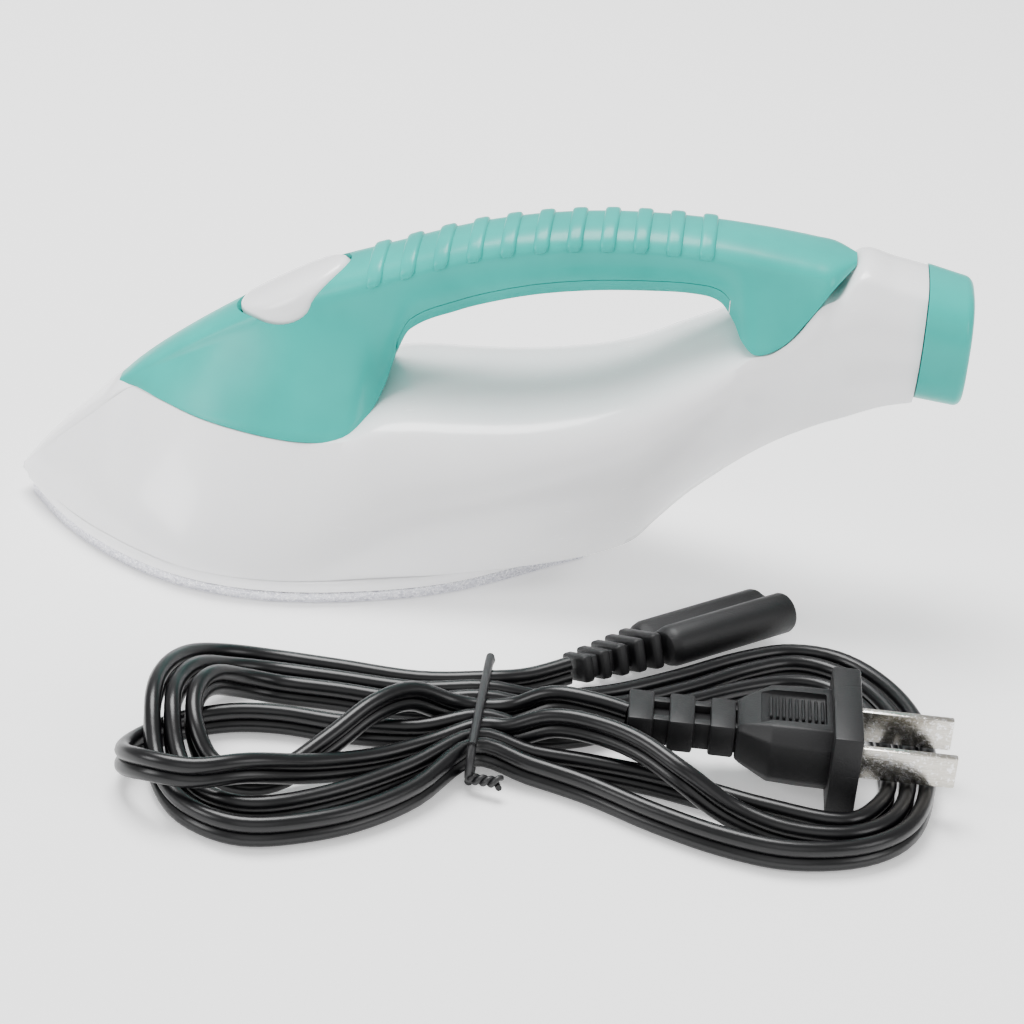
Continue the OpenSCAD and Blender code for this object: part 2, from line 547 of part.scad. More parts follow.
// Rounded rectangular cap drawn in by d, tapering to the rear with a rounded edge
module cap_form(d, a = cap_x, b = mouth_x) skin([for (u = [0, 0.3, 0.6, 0.84, 0.93, 0.98, 1])
    let(x = a + (b - a) * u, e = 0.5 * u + 1.5 * pow(max(u - 0.84, 0) / 0.16, 2))
    [for (t = [0:10:350]) [x, (cap_w - e - d) * lump(cos(t), 0.72),
                           cap_z + 0.2 - 1.4 * u + (cap_h - e - d) * lump(sin(t), 0.72)]]]);
module end_cap() {
    color([0.13, 0.78, 0.74]) {
        difference() {
            cap_form(0);
            cap_form(1.8, cap_x - 1, mouth_x - 2);
            translate([cap_x - 2, 0, inlet_z]) two_lobes(5.9, 20);
        }
        for (s = [-1, 1]) translate([77, -3, cap_z + s * 8.9 - 0.6]) cube([cap_x - 77 + 1, 6, 1.2]);
    }
}
module inlet_socket() {
    color([0.08, 0.08, 0.09]) difference() {
        union() {
            translate([74.5, 0, inlet_z]) two_lobes(5.1, 9);
            translate([83.1, 0, inlet_z]) two_lobes(5.8, mouth_x - 83.3);
            translate([80.5, -7.4, inlet_z - 6]) cube([2, 14.8, 12]);
        }
        translate([78, 0, inlet_z]) two_lobes(4.3, 20);
        for (s = [-1, 1]) translate([70, s * inlet_pitch / 2, inlet_z]) rotate([0, 90, 0])
            cylinder(r = pin_root_r + 0.02, h = 12);
    }
}
module inlet_pins() {
    color([0.8, 0.8, 0.82]) for (s = [-1, 1]) translate([0, s * inlet_pitch / 2, inlet_z]) {
        translate([70, 0, 0]) rotate([0, 90, 0]) cylinder(r = pin_root_r, h = 8);
        translate([77.9, 0, 0]) rotate([0, 90, 0]) cylinder(r = inlet_pin_r, h = 10.6);
        translate([66, -1.5, -0.4]) cube([4.6, 3, 0.8]);
    }
}
// The lead's pieces lie at -Y. Slots: the eight strands side by side under the tie.
tie_x = 9.5;
slot_0 = -62.5;
slot_pitch = 3.35;
slot_z = 4.7;
function slot(i) = [tie_x, slot_0 - (i - 1) * slot_pitch, slot_z];
plug_tail = [36, -75.5, 9.5];
plug_turn = 1.5;
connector_tail = [25, -54.5, 5.7];
connector_roll = -22;
connector_turn = 41;
CORD = concat(
    [[24.2, -55.3, 5.6], [17, -59.6, 4.7], slot(1)],
    [[-3, -63.4, 3.4], [-18, -62, 3], [-30, -61.5, 3], [-39.1, -65, 5], [-44.9, -72.5, 8.2], [-47.4, -82, 10],
     [-47.2, -92, 10], [-44.6, -102, 5.2], [-40.3, -109.5, 3], [-34.1, -115, 3], [-26.6, -117, 3],
     [-18, -114.5, 3], [-8, -108.4, 3], [1, -99, 3.3], slot(8)],
    [[20, -87.4, 3.3], [31, -91, 3], [43, -97.2, 3], [55.6, -102, 3], [67.4, -103.5, 3], [79.8, -99.6, 3],
     [87.8, -91, 3], [91, -77, 3], [90.4, -61, 3], [85.2, -47, 3], [76.3, -37.5, 3], [66, -36, 3],
     [55.6, -41.5, 3], [44, -51, 3], [32, -59.4, 3], [20, -64.2, 3.3], slot(2)],
    [[-3, -67, 3.4], [-18, -66, 3], [-29.1, -65.8, 3], [-37, -69.5, 5], [-42, -76.5, 8.6],
     [-44, -84, 9.8], [-43.6, -92.5, 9.7], [-41.1, -100.5, 5.4], [-36.6, -107, 3], [-30, -110.6, 3],
     [-22.5, -109.6, 3], [-12, -103, 3], [-1, -93, 3.3], slot(7)],
    [[20, -83.6, 3.3], [30, -83.9, 3], [41, -85.4, 3], [51.9, -88.2, 3], [62, -91, 3], [75.2, -92.9, 3],
     [81.4, -87.2, 3], [83.9, -77, 3], [80.8, -57, 3], [73.5, -48.5, 3], [65.5, -47.6, 3], [56.6, -52, 3],
     [47, -59, 3], [37, -66, 3], [28, -72.4, 3], [19, -75.8, 3.4], slot(5)],
    [[-1, -79.6, 3.2], [-14, -81, 3], [-25.8, -80.4, 3], [-34.9, -82, 3], [-43.2, -86.8, 3], [-49, -94.5, 3.4],
     [-49.9, -104, 6.2], [-44.5, -110.6, 9.6], [-36.2, -111.8, 10], [-27.5, -107.6, 9.6], [-18, -100, 6],
     [-8, -92, 3.6], [1, -85, 3.4], slot(6)],
    [[15.6, -79.4, 5.6], [23, -79.8, 9], [31, -81.8, 9.9], [39, -85.6, 9.8], [47, -91.4, 8.4],
     [55.6, -94.2, 4.4], [66, -97.3, 3], [77.4, -96.4, 3], [84.8, -89.4, 3], [87.5, -77, 3], [86.4, -60, 3],
     [81, -48, 3], [74, -41.6, 3], [66, -40.2, 3], [57, -45.4, 3], [46, -54.8, 3], [34, -63, 3],
     [21, -68, 3.3], slot(3)],
    [[-3, -71, 3.2], [-17, -70.2, 3], [-27.5, -70.2, 3], [-34.5, -73.8, 5.6], [-38.6, -80, 9.2],
     [-40.3, -87, 10], [-39.3, -94, 8], [-35.4, -99.4, 4], [-29.1, -101.6, 3], [-22.5, -98.6, 3.4],
     [-15.5, -91.6, 6.6], [-9, -83.6, 9.6], [-3, -77, 9.2], [3.5, -73.6, 5.8], slot(4)],
    [[16, -72.1, 5.8], [22.5, -72.7, 9.4], [30, -74.1, 9.9], [35.9, -75.45, 9.5]]);
module lead_cord() {
    color([0.06, 0.06, 0.07]) skin([for (i = [0:len(CORD) - 1])
        let(h = heading(CORD, i), side = unit(cross(h, [0, 0, 1])), up = cross(side, h))
        [for (a = [22.5:45:337.5]) CORD[i] + cord_t / 2 * cos(a) * side - cord_w / 2 * sin(a) * up]]);
}

module at_connector() translate(connector_tail) rotate([0, 0, connector_turn])
    rotate([connector_roll, 0, 0]) children();
connector_l = 48;
relief_l = 18;
lobe_r = 4;
module lead_connector() {
    color([0.07, 0.07, 0.08]) at_connector() difference() {
        union() {
            translate([relief_l, 0, 0]) two_lobes(lobe_r, connector_l - relief_l);
            for (i = [0:4]) translate([i * 3.7, -3.6 - i * 0.5, -2.6 - i * 0.2]) cube([2.2, 7.2 + i, 5.2 + i * 0.4]);
            translate([1, -2.6, -1.9]) cube([relief_l + 1, 5.2, 3.8]);
        }
        for (s = [-1, 1]) translate([connector_l - 14, s * inlet_pitch / 2, 0]) rotate([0, 90, 0])
            cylinder(r = 1.75, h = 20);
    }
}
module connector_sockets() {
    color([0.8, 0.7, 0.4]) at_connector() for (s = [-1, 1]) translate([connector_l - 13.5, s * inlet_pitch / 2, 0])
        rotate([0, 90, 0]) difference() {
            cylinder(r = 1.7, h = 12.5);
            translate([0, 0, 1]) cylinder(r = 1.25, h = 20);
        }
}
module at_plug() translate(plug_tail) rotate([0, 0, plug_turn]) children();
flange_x = 36.5;
module plug_body() {
    color([0.08, 0.08, 0.09]) at_plug() {
        for (i = [0:2]) translate([i * 7.4, -5, -3.2]) cube([4.6, 10, 6.4]);
        translate([1, -3.4, -2.4]) cube([22, 6.8, 4.8]);
        hull() {
            translate([20.5, -5.5, -3.6]) cube([1, 11, 7.2]);
            translate([26, -9.6, -6]) cube([flange_x - 26, 19.2, 12]);
        }
        translate([flange_x - 0.2, -12.6, -8]) cube([5.2, 25.2, 16]);
    }
}
module plug_blades() {
    color([0.75, 0.74, 0.7]) at_plug() for (s = [-1, 1])
        translate([flange_x + 5, s * 6.35 - 0.75, -3.15]) cube([17.5, 1.5, 6.3]);
}
module twist_tie() {
    r = 0.75;
    y0 = slot_0 + 1.6;
    y1 = slot_0 - 7 * slot_pitch - 1.6;
    h = 3.85;
    zc = slot_z;
    color([0.25, 0.25, 0.26]) {
        for (s = [-1, 1]) translate([tie_x, y1, zc + s * h]) rotate([-90, 0, 0]) cylinder(r = r, h = y0 - y1);
        translate([tie_x, y0, zc]) rotate([90, 0, 90]) rotate([0, 0, -90]) rotate_extrude(angle = 180)
            translate([h, 0]) circle(r = r);
        translate([tie_x, y1, zc]) rotate([90, 0, 90]) rotate([0, 0, 90]) rotate_extrude(angle = 180)
            translate([h, 0]) circle(r = r);
        translate([tie_x + 0.5, y1 - h, 2.2]) rotate([0, 80, -15]) cylinder(r = 1.1, h = 5);
    }
}

soleplate();
heating_element();
element_terminals();
heat_shield();
sole_skirt();
shield_screws();
body_shell();
body_screw();
handle_top_shell();
handle_lower_shell();
handle_screws();
power_button();
button_hinge_pin();
button_spring();
switch_bracket();
switch_body();
switch_plunger();
switch_terminals();
thermostat_base();
thermostat_blades();
thermal_fuse();
fuse_clamp();
wire_live();
wire_switched();
wire_neutral();
wire_fused();
wire_heater();
end_cap();
inlet_socket();
inlet_pins();
lead_connector();
connector_sockets();
lead_cord();
plug_body();
plug_blades();
twist_tie();
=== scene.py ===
"""Looks of a small electric hand iron with an arched handle, a thumb button and a detachable flat lead.

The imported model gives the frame: every piece below stands where the CAD says, in metres, with the sole on
z = 0, the nose at -X and the inlet cap at +X. Shell sections and the lead's route repeat the part's own stations,
which are written in millimetres and scaled once. Only the handle's front foot differs: it is steeper here.
"""
import logging
import math
from dataclasses import dataclass, field
from enum import Enum
from typing import Callable, Optional, Sequence

import bmesh
import bpy
from mathutils import Matrix, Vector
from mathutils.bvhtree import BVHTree


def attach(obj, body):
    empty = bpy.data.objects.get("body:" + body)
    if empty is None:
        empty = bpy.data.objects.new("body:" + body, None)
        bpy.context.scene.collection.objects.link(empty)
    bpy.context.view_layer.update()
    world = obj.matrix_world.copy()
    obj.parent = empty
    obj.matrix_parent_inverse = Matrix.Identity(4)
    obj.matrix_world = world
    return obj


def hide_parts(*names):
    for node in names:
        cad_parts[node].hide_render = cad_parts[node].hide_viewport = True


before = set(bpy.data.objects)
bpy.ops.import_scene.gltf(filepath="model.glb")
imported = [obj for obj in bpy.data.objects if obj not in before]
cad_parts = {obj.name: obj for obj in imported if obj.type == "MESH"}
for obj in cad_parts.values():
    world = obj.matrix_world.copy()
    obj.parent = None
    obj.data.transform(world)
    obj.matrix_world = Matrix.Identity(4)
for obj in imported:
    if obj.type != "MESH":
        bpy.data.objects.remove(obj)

LOG = logging.getLogger("hand_iron")
MM = 0.001
SHARP_DEG = 38.0
GRIP_SHARP_DEG = 30.0
CORD_SHARP_DEG = 50.0
TIE_SHARP_DEG = 60.0
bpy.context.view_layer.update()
Point = tuple[float, float, float]
Row = tuple[float, ...]


# ---------------------------------------------------------------- stations and curves

@dataclass(frozen=True)
class Stations:
    """Rows of values along x, read with a smooth curve between them.

    Args:
        rows: each row is x followed by its values, in millimetres.
    """

    rows: tuple[Row, ...]

    def _slope(self, k: int, column: int) -> float:
        """Slope of a column at row k."""
        a, b = self.rows[max(k - 1, 0)], self.rows[min(k + 1, len(self.rows) - 1)]
        return (b[column] - a[column]) / (b[0] - a[0])

    def at(self, x: float, column: int = 1) -> float:
        """Value of a column at x.

        Args:
            x: place along the row axis, in millimetres.
            column: which value of the rows.

        Returns:
            The value, held at the ends.
        """
        rows = self.rows
        if x <= rows[0][0]:
            return rows[0][column]
        if x >= rows[-1][0]:
            return rows[-1][column]
        k = max(i for i in range(len(rows) - 1) if rows[i][0] <= x)
        h = rows[k + 1][0] - rows[k][0]
        t = (x - rows[k][0]) / h
        return (
            (2 * t**3 - 3 * t**2 + 1) * rows[k][column]
            + (t**3 - 2 * t**2 + t) * h * self._slope(k, column)
            + (3 * t**2 - 2 * t**3) * rows[k + 1][column]
            + (t**3 - t**2) * h * self._slope(k + 1, column)
        )


CREST = Stations((
    (-92, 6), (-88, 11.6), (-82, 18.4), (-77, 23.6), (-73, 27.8), (-69, 32), (-63, 37.2), (-54, 44),
    (-45, 50.1), (-37, 55), (-31, 58), (-25, 60.4), (-18, 63.2), (-10, 66.4), (0, 69.8), (10, 72.2),
    (20, 73.8), (30, 74.6), (40, 74.8), (50, 74.4), (60, 73.5), (70, 72), (83, 70), (92.25, 68.2),
))
# x, lower z, lower half width, side controls (low, high), shoulder half width, shoulder z, top z
BODY = Stations((
    (-92, 5.1, 0.9, 0.8, 0.7, 0.6, 5.7, 6), (-88, 5.1, 6.5, 6.2, 5, 3, 10.6, 11.6),
    (-82, 5.1, 13, 12.5, 10, 4.5, 16.8, 18.4), (-77, 5.1, 18, 17, 13.5, 5.5, 21.7, 23.6),
    (-73, 5.1, 21.5, 20, 15, 6, 25.7, 27.8), (-69, 5.1, 24.5, 23, 15.5, 5, 28.4, 28.6),
    (-63, 5.1, 28.5, 27, 19, 10.5, 29, 29.1), (-54, 5.1, 33, 31.5, 23, 16.3, 28.8, 28.9),
    (-45, 5.1, 34.8, 33.5, 25.5, 19.5, 28.6, 28.7), (-37, 5.1, 34.6, 33.2, 26.5, 21, 28.5, 28.6),
    (-31, 5.1, 33.7, 32.4, 27, 21.3, 28.8, 28.88), (-25, 5.1, 32, 31.4, 27.5, 21.5, 30, 30.4),
    (-20, 5.1, 30.2, 30.6, 27.8, 21.8, 31.4, 34.4), (-14, 5.1, 28, 29.6, 28, 22, 32, 36.4),
    (-4, 5.1, 24.3, 28, 28, 22, 32.3, 37.4), (8, 5.1, 18.7, 26, 27, 21.7, 33.6, 38.8),
    (20, 5.1, 12, 22.5, 26, 21.2, 36, 41.6), (28, 5.25, 6, 19, 25.5, 20.6, 38.5, 44.6),
    (33, 6.3, 2, 16.5, 25, 20.2, 41, 47.2), (37, 12, 3, 15, 23.8, 19.6, 43.4, 49.6),
    (42, 18.6, 4, 14.2, 22.4, 18.6, 46.8, 52.2), (47, 24, 4.8, 14, 21, 17, 51.2, 54.6),
    (51, 28, 5.4, 13.8, 19.5, 15.3, 54.8, 55.2), (55, 31.5, 5.9, 13.5, 18, 14.4, 56, 56.1),
    (59, 34.6, 6.4, 13.3, 16.6, 12.9, 59.34, 59.39), (63, 37.2, 6.8, 13.2, 15.4, 10.8, 64.89, 64.94),
    (66, 39, 7.1, 13.1, 14.6, 9.2, 66.35, 66.4), (70, 41, 7.4, 13, 13.8, 8.6, 69.5, 72),
    (77, 44.5, 7.8, 13, 13.2, 8.8, 68.4, 71), (83, 46.4, 8, 13.2, 13.2, 9, 67.3, 70),
))
# x, lower z, lower half width, side controls (low, high), shoulder half width, shoulder z
GRIP = Stations((
    (-73, 27.2, 2.2, 2.1, 2, 1.8, 27.6), (-69, 28.4, 5, 4.8, 4.4, 3.8, 30.8),
    (-63, 29, 10.5, 9.5, 7.5, 5.5, 34.8), (-54, 28.8, 16.3, 13.5, 9.5, 6.6, 41),
    (-45, 28.6, 19.5, 15, 10, 7.6, 46.6), (-37, 28.5, 21, 15.5, 10, 8.3, 51.2),
    (-31, 28.8, 21.3, 14, 9.6, 8.6, 54), (-26, 29.4, 20.3, 12.5, 9.2, 8.7, 56.2),
    (-23, 31, 17.8, 11, 9.1, 8.7, 57.4), (-20.6, 33.3, 13.8, 9.4, 9, 8.7, 58.4),
    (-18.8, 37, 9.8, 8.7, 8.9, 8.7, 59.1), (-17.2, 43, 7.4, 8.5, 8.8, 8.7, 59.8),
    (-15, 48.2, 6.2, 8.4, 8.8, 8.7, 60.8),
    (-6, 53.4, 6.2, 8.3, 8.7, 8.6, 64.4), (2, 56.6, 6.2, 8.2, 8.6, 8.6, 66.8),
    (10, 59, 6.2, 8.2, 8.6, 8.6, 68.8), (20, 61, 6.2, 8.2, 8.7, 8.6, 70.4),
    (30, 62.2, 6.2, 8.3, 8.8, 8.7, 71.2), (39, 62.8, 6.4, 8.5, 9, 8.9, 71.3),
    (44, 62.2, 7.4, 9, 9.3, 9, 71.2), (47, 59.6, 10, 10.2, 9.9, 9.2, 70.9),
    (49, 57, 13.2, 11.8, 10.4, 9.3, 70.7), (52, 55.4, 15, 13, 11, 9.6, 70.3),
    (57, 57.6, 13.8, 12.8, 11.2, 9.8, 69.8), (61, 62.5, 12, 11.5, 10.8, 9.8, 69.6),
    (65, 68.2, 9.6, 9.5, 9.3, 8.8, 70.2), (69.5, 71.4, 2.2, 2.1, 2, 1.8, 71.7),
))
# distance from the nose tip, half width of the leaf outline
LEAF = Stations((
    (0, 0.6), (10, 14), (22, 25), (35, 32.2), (47.5, 34.8), (61, 33.8), (76, 29.3), (89, 23),
    (100, 14.6), (108, 7.5), (116, 0.6),
))
LEAF_TIP_X = -91.0
LEAF_LENGTH = 116.0


def bezier(a: Sequence[float], b: Sequence[float], c: Sequence[float], d: Sequence[float],
           t: float) -> tuple[float, ...]:
    """Point at t on the cubic with the four control points."""
    s = 1 - t
    w = (s**3, 3 * s * s * t, 3 * s * t * t, t**3)
    return tuple(w[0] * p + w[1] * q + w[2] * r + w[3] * u for p, q, r, u in zip(a, b, c, d))


def spread(low: float, high: float, count: int) -> list[float]:
    """Count + 1 values from low to high."""
    return [low + (high - low) * i / count for i in range(count + 1)]


def leaf_half_width(s: float, inset: float) -> float:
    """Half width of the leaf at a distance s from its tip, drawn in by inset."""
    pinch = 1 + 0.25 * (abs(s / LEAF_LENGTH - 0.4) / 0.6) ** 2
    return max(LEAF.at(s) - inset * pinch, 0.3)


# ---------------------------------------------------------------- mesh helpers

def warped_grid(us: Sequence[float], vs: Sequence[float],
                place: Callable[[float, float], Point]) -> bmesh.types.BMesh:
    """A grid whose corners are carried to place(u, v), with touching edges merged.

    Args:
        us: values along the first direction.
        vs: values along the second direction.
        place: gives a point in millimetres for each pair.

    Returns:
        The bmesh, in metres.
    """
    bm = bmesh.new()
    bmesh.ops.create_grid(bm, x_segments=len(us) - 1, y_segments=len(vs) - 1, size=1.0)
    for v in bm.verts:
        i = round((v.co.x + 1) / 2 * (len(us) - 1))
        j = round((v.co.y + 1) / 2 * (len(vs) - 1))
        v.co = Vector(place(us[i], vs[j])) * MM
    bmesh.ops.remove_doubles(bm, verts=bm.verts, dist=0.01 * MM)
    bmesh.ops.dissolve_degenerate(bm, edges=bm.edges, dist=0.005 * MM)
    bmesh.ops.recalc_face_normals(bm, faces=bm.faces)
    return bm


def close_ends(bm: bmesh.types.BMesh) -> None:
    """Closes every open loop of the mesh."""
    edges = [e for e in bm.edges if e.is_boundary]
    bmesh.ops.holes_fill(bm, edges=edges, sides=0)
    bmesh.ops.recalc_face_normals(bm, faces=bm.faces)


def mark_sharp(bm: bmesh.types.BMesh, sharp_deg: float) -> None:
    """Makes every face smooth and every corner of more than sharp_deg an edge that shows."""
    limit = math.radians(sharp_deg)
    for f in bm.faces:
        f.smooth = True
    for e in bm.edges:
        e.smooth = not (e.is_manifold and e.calc_face_angle(0.0) > limit)


def finished(bm: bmesh.types.BMesh, name: str, sharp_deg: float = SHARP_DEG) -> bpy.types.Object:
    """Makes an object at the origin from a bmesh, smooth except at sharp corners.

    Args:
        bm: the mesh, in metres; it is freed.
        name: the object's name.
        sharp_deg: faces that meet at more than this show an edge.

    Returns:
        The object, linked to the scene.
    """
    mark_sharp(bm, sharp_deg)
    mesh = bpy.data.meshes.new(name)
    bm.to_mesh(mesh)
    bm.free()
    piece = bpy.data.objects.new(name, mesh)
    bpy.context.collection.objects.link(piece)
    return piece


def resharpen(piece: bpy.types.Object, sharp_deg: float = SHARP_DEG) -> None:
    """Marks the sharp corners of a finished piece again after its shape has changed."""
    bm = opened(piece)
    bmesh.ops.remove_doubles(bm, verts=bm.verts, dist=0.002 * MM)
    mark_sharp(bm, sharp_deg)
    bm.to_mesh(piece.data)
    bm.free()


def merge_into(bm: bmesh.types.BMesh, part: bmesh.types.BMesh) -> None:
    """Adds a part's mesh to another mesh and frees the part."""
    mesh = bpy.data.meshes.new("part")
    part.to_mesh(mesh)
    part.free()
    bm.from_mesh(mesh)
    bpy.data.meshes.remove(mesh)


def opened(piece: bpy.types.Object) -> bmesh.types.BMesh:
    """A bmesh of a piece's mesh."""
    bm = bmesh.new()
    bm.from_mesh(piece.data)
    return bm


def applied(piece: bpy.types.Object) -> None:
    """Turns a piece's modifiers into mesh."""
    graph = bpy.context.evaluated_depsgraph_get()
    mesh = bpy.data.meshes.new_from_object(piece.evaluated_get(graph))
    piece.modifiers.clear()
    piece.data = mesh


def combine(piece: bpy.types.Object, tool: bpy.types.Object, operation: str) -> None:
    """Cuts, joins or intersects a piece with a tool object, which is then removed."""
    mod = piece.modifiers.new("cut", "BOOLEAN")
    mod.object = tool
    mod.operation = operation
    mod.solver = "EXACT"
    bpy.context.view_layer.update()
    applied(piece)
    bpy.data.objects.remove(tool)


def box_into(bm: bmesh.types.BMesh, low: Point, high: Point, bevel_mm: float = 0.0,
             segments: int = 2) -> None:
    """Adds a box between two corners in millimetres, with its edges rounded."""
    made = bmesh.ops.create_cube(bm, size=1.0)["verts"]
    size = [(b - a) * MM for a, b in zip(low, high)]
    middle = [(a + b) / 2 * MM for a, b in zip(low, high)]
    bmesh.ops.scale(bm, vec=size, verts=made)
    bmesh.ops.translate(bm, vec=middle, verts=made)
    if bevel_mm:
        edges = list({e for v in made for e in v.link_edges})
        bmesh.ops.bevel(bm, geom=edges, offset=bevel_mm * MM, segments=segments, profile=0.5,
                        affect="EDGES", material=-1)


def rod_into(bm: bmesh.types.BMesh, start: Point, end: Point, radius: float, segments: int = 24) -> None:
    """Adds a round rod between two points in millimetres."""
    a, b = Vector(start) * MM, Vector(end) * MM
    turn = (b - a).to_track_quat("Z", "Y").to_matrix().to_4x4()
    bmesh.ops.create_cone(bm, cap_ends=True, segments=segments, radius1=radius * MM, radius2=radius * MM,
                          depth=(b - a).length, matrix=Matrix.Translation((a + b) / 2) @ turn)


# ---------------------------------------------------------------- finishes

def linear(hex_colour: str) -> tuple[float, float, float, float]:
    """Linear colour of an sRGB hex value such as "24cfc7"."""
    parts = [int(hex_colour[i:i + 2], 16) / 255 for i in (0, 2, 4)]
    return (*(c / 12.92 if c <= 0.04045 else ((c + 0.055) / 1.055) ** 2.4 for c in parts), 1.0)


def node(tree: bpy.types.NodeTree, kind: str, inputs: Optional[dict] = None, **settings) -> bpy.types.Node:
    """Adds a shader node.

    Args:
        tree: the material's tree.
        kind: the node's type name.
        inputs: value, or socket to link from, for each input by name or number.
        settings: the node's own properties.

    Returns:
        The node.
    """
    made = tree.nodes.new(kind)
    for key, value in settings.items():
        setattr(made, key, value)
    for key, value in (inputs or {}).items():
        if isinstance(value, bpy.types.NodeSocket):
            tree.links.new(value, made.inputs[key])
        else:
            made.inputs[key].default_value = value
    return made


def ramp(tree: bpy.types.NodeTree, factor: bpy.types.NodeSocket,
         stops: Sequence[tuple]) -> bpy.types.NodeSocket:
    """A colour ramp over a factor; stops are (place, colour)."""
    made = node(tree, "ShaderNodeValToRGB", {"Fac": factor})
    elements = made.color_ramp.elements
    while len(elements) < len(stops):
        elements.new(0.5)
    for element, (place, colour) in zip(elements, stops):
        element.position = place
        element.color = colour
    return made.outputs["Color"]


def grey(level: float) -> tuple[float, float, float, float]:
    """A neutral colour of one level."""
    return (level, level, level, 1.0)


def blank_material(name: str) -> tuple[bpy.types.Material, bpy.types.NodeTree, bpy.types.Node]:
    """A new material with its node tree and its surface shader."""
    mat = bpy.data.materials.new(name)
    mat.use_nodes = True
    return mat, mat.node_tree, mat.node_tree.nodes["Principled BSDF"]


@dataclass(frozen=True)
class Moulded:
    """An injection-moulded thermoplastic, with its mould grain, slight mottling and handling scuffs.

    Args:
        name: the material's name.
        colour: its main sRGB hex colour.
        shade: the hex colour that it drifts to in its mottling.
        roughness: of the moulded skin.
        scuffed: roughness of the scuffs.
        coat: strength of the glossy skin.
        grain_mm: size of the mould grain.
        grain: height of the grain in millimetres.
        mottle_mm: size of the mottling.
        ior: index of refraction of the plastic.
        specular: share of the usual reflection.
        translucency: weight of the light that scatters inside it.
    """

    name: str
    colour: str
    shade: str
    roughness: float
    scuffed: float
    coat: float = 0.0
    grain_mm: float = 0.5
    grain: float = 0.01
    mottle_mm: float = 18.0
    ior: float = 1.5
    specular: float = 0.5
    translucency: float = 0.0

    def build(self) -> bpy.types.Material:
        """Makes the material."""
        mat, tree, shader = blank_material(self.name)
        at = node(tree, "ShaderNodeTexCoord").outputs["Object"]
        mottle = node(tree, "ShaderNodeTexNoise",
                      {"Vector": at, "Scale": 1 / (self.mottle_mm * MM), "Detail": 3.0})
        colour = ramp(tree, mottle.outputs["Fac"], [(0.35, linear(self.shade)), (0.65, linear(self.colour))])
        tree.links.new(colour, shader.inputs["Base Color"])
        # fine scratches: noise stretched along the handling direction, kept to a few thin lines
        along = node(tree, "ShaderNodeMapping",
                     {"Vector": at, "Rotation": (0.3, 0.2, 0.6), "Scale": (160, 1500, 1500)})
        scratch = node(tree, "ShaderNodeTexNoise", {"Vector": along.outputs[0], "Scale": 1.0, "Detail": 2.0})
        lines = ramp(tree, scratch.outputs["Fac"], [(0.66, grey(0)), (0.76, grey(1))])
        patch = ramp(tree, mottle.outputs["Fac"], [(0.42, grey(0)), (0.62, grey(1))])
        both = node(tree, "ShaderNodeMath", {0: lines, 1: patch}, operation="MULTIPLY")
        rough = node(tree, "ShaderNodeMapRange", {"Value": both.outputs[0], "To Min": self.roughness,
                                                  "To Max": self.scuffed})
        tree.links.new(rough.outputs[0], shader.inputs["Roughness"])
        grains = node(tree, "ShaderNodeTexNoise",
                      {"Vector": at, "Scale": 1 / (self.grain_mm * MM), "Detail": 2.0})
        height = node(tree, "ShaderNodeMath", {0: grains.outputs["Fac"], 1: both.outputs[0]},
                      operation="SUBTRACT")
        bump = node(tree, "ShaderNodeBump",
                    {"Height": height.outputs[0], "Distance": self.grain * MM, "Strength": 1.0})
        tree.links.new(bump.outputs[0], shader.inputs["Normal"])
        shader.inputs["IOR"].default_value = self.ior
        shader.inputs["Specular IOR Level"].default_value = self.specular
        shader.inputs["Coat Weight"].default_value = self.coat
        shader.inputs["Coat Roughness"].default_value = 0.12
        if self.translucency:
            shader.inputs["Subsurface Weight"].default_value = self.translucency
            shader.inputs["Subsurface Radius"].default_value = (0.004, 0.004, 0.004)
            shader.inputs["Subsurface Scale"].default_value = 0.5
        return mat


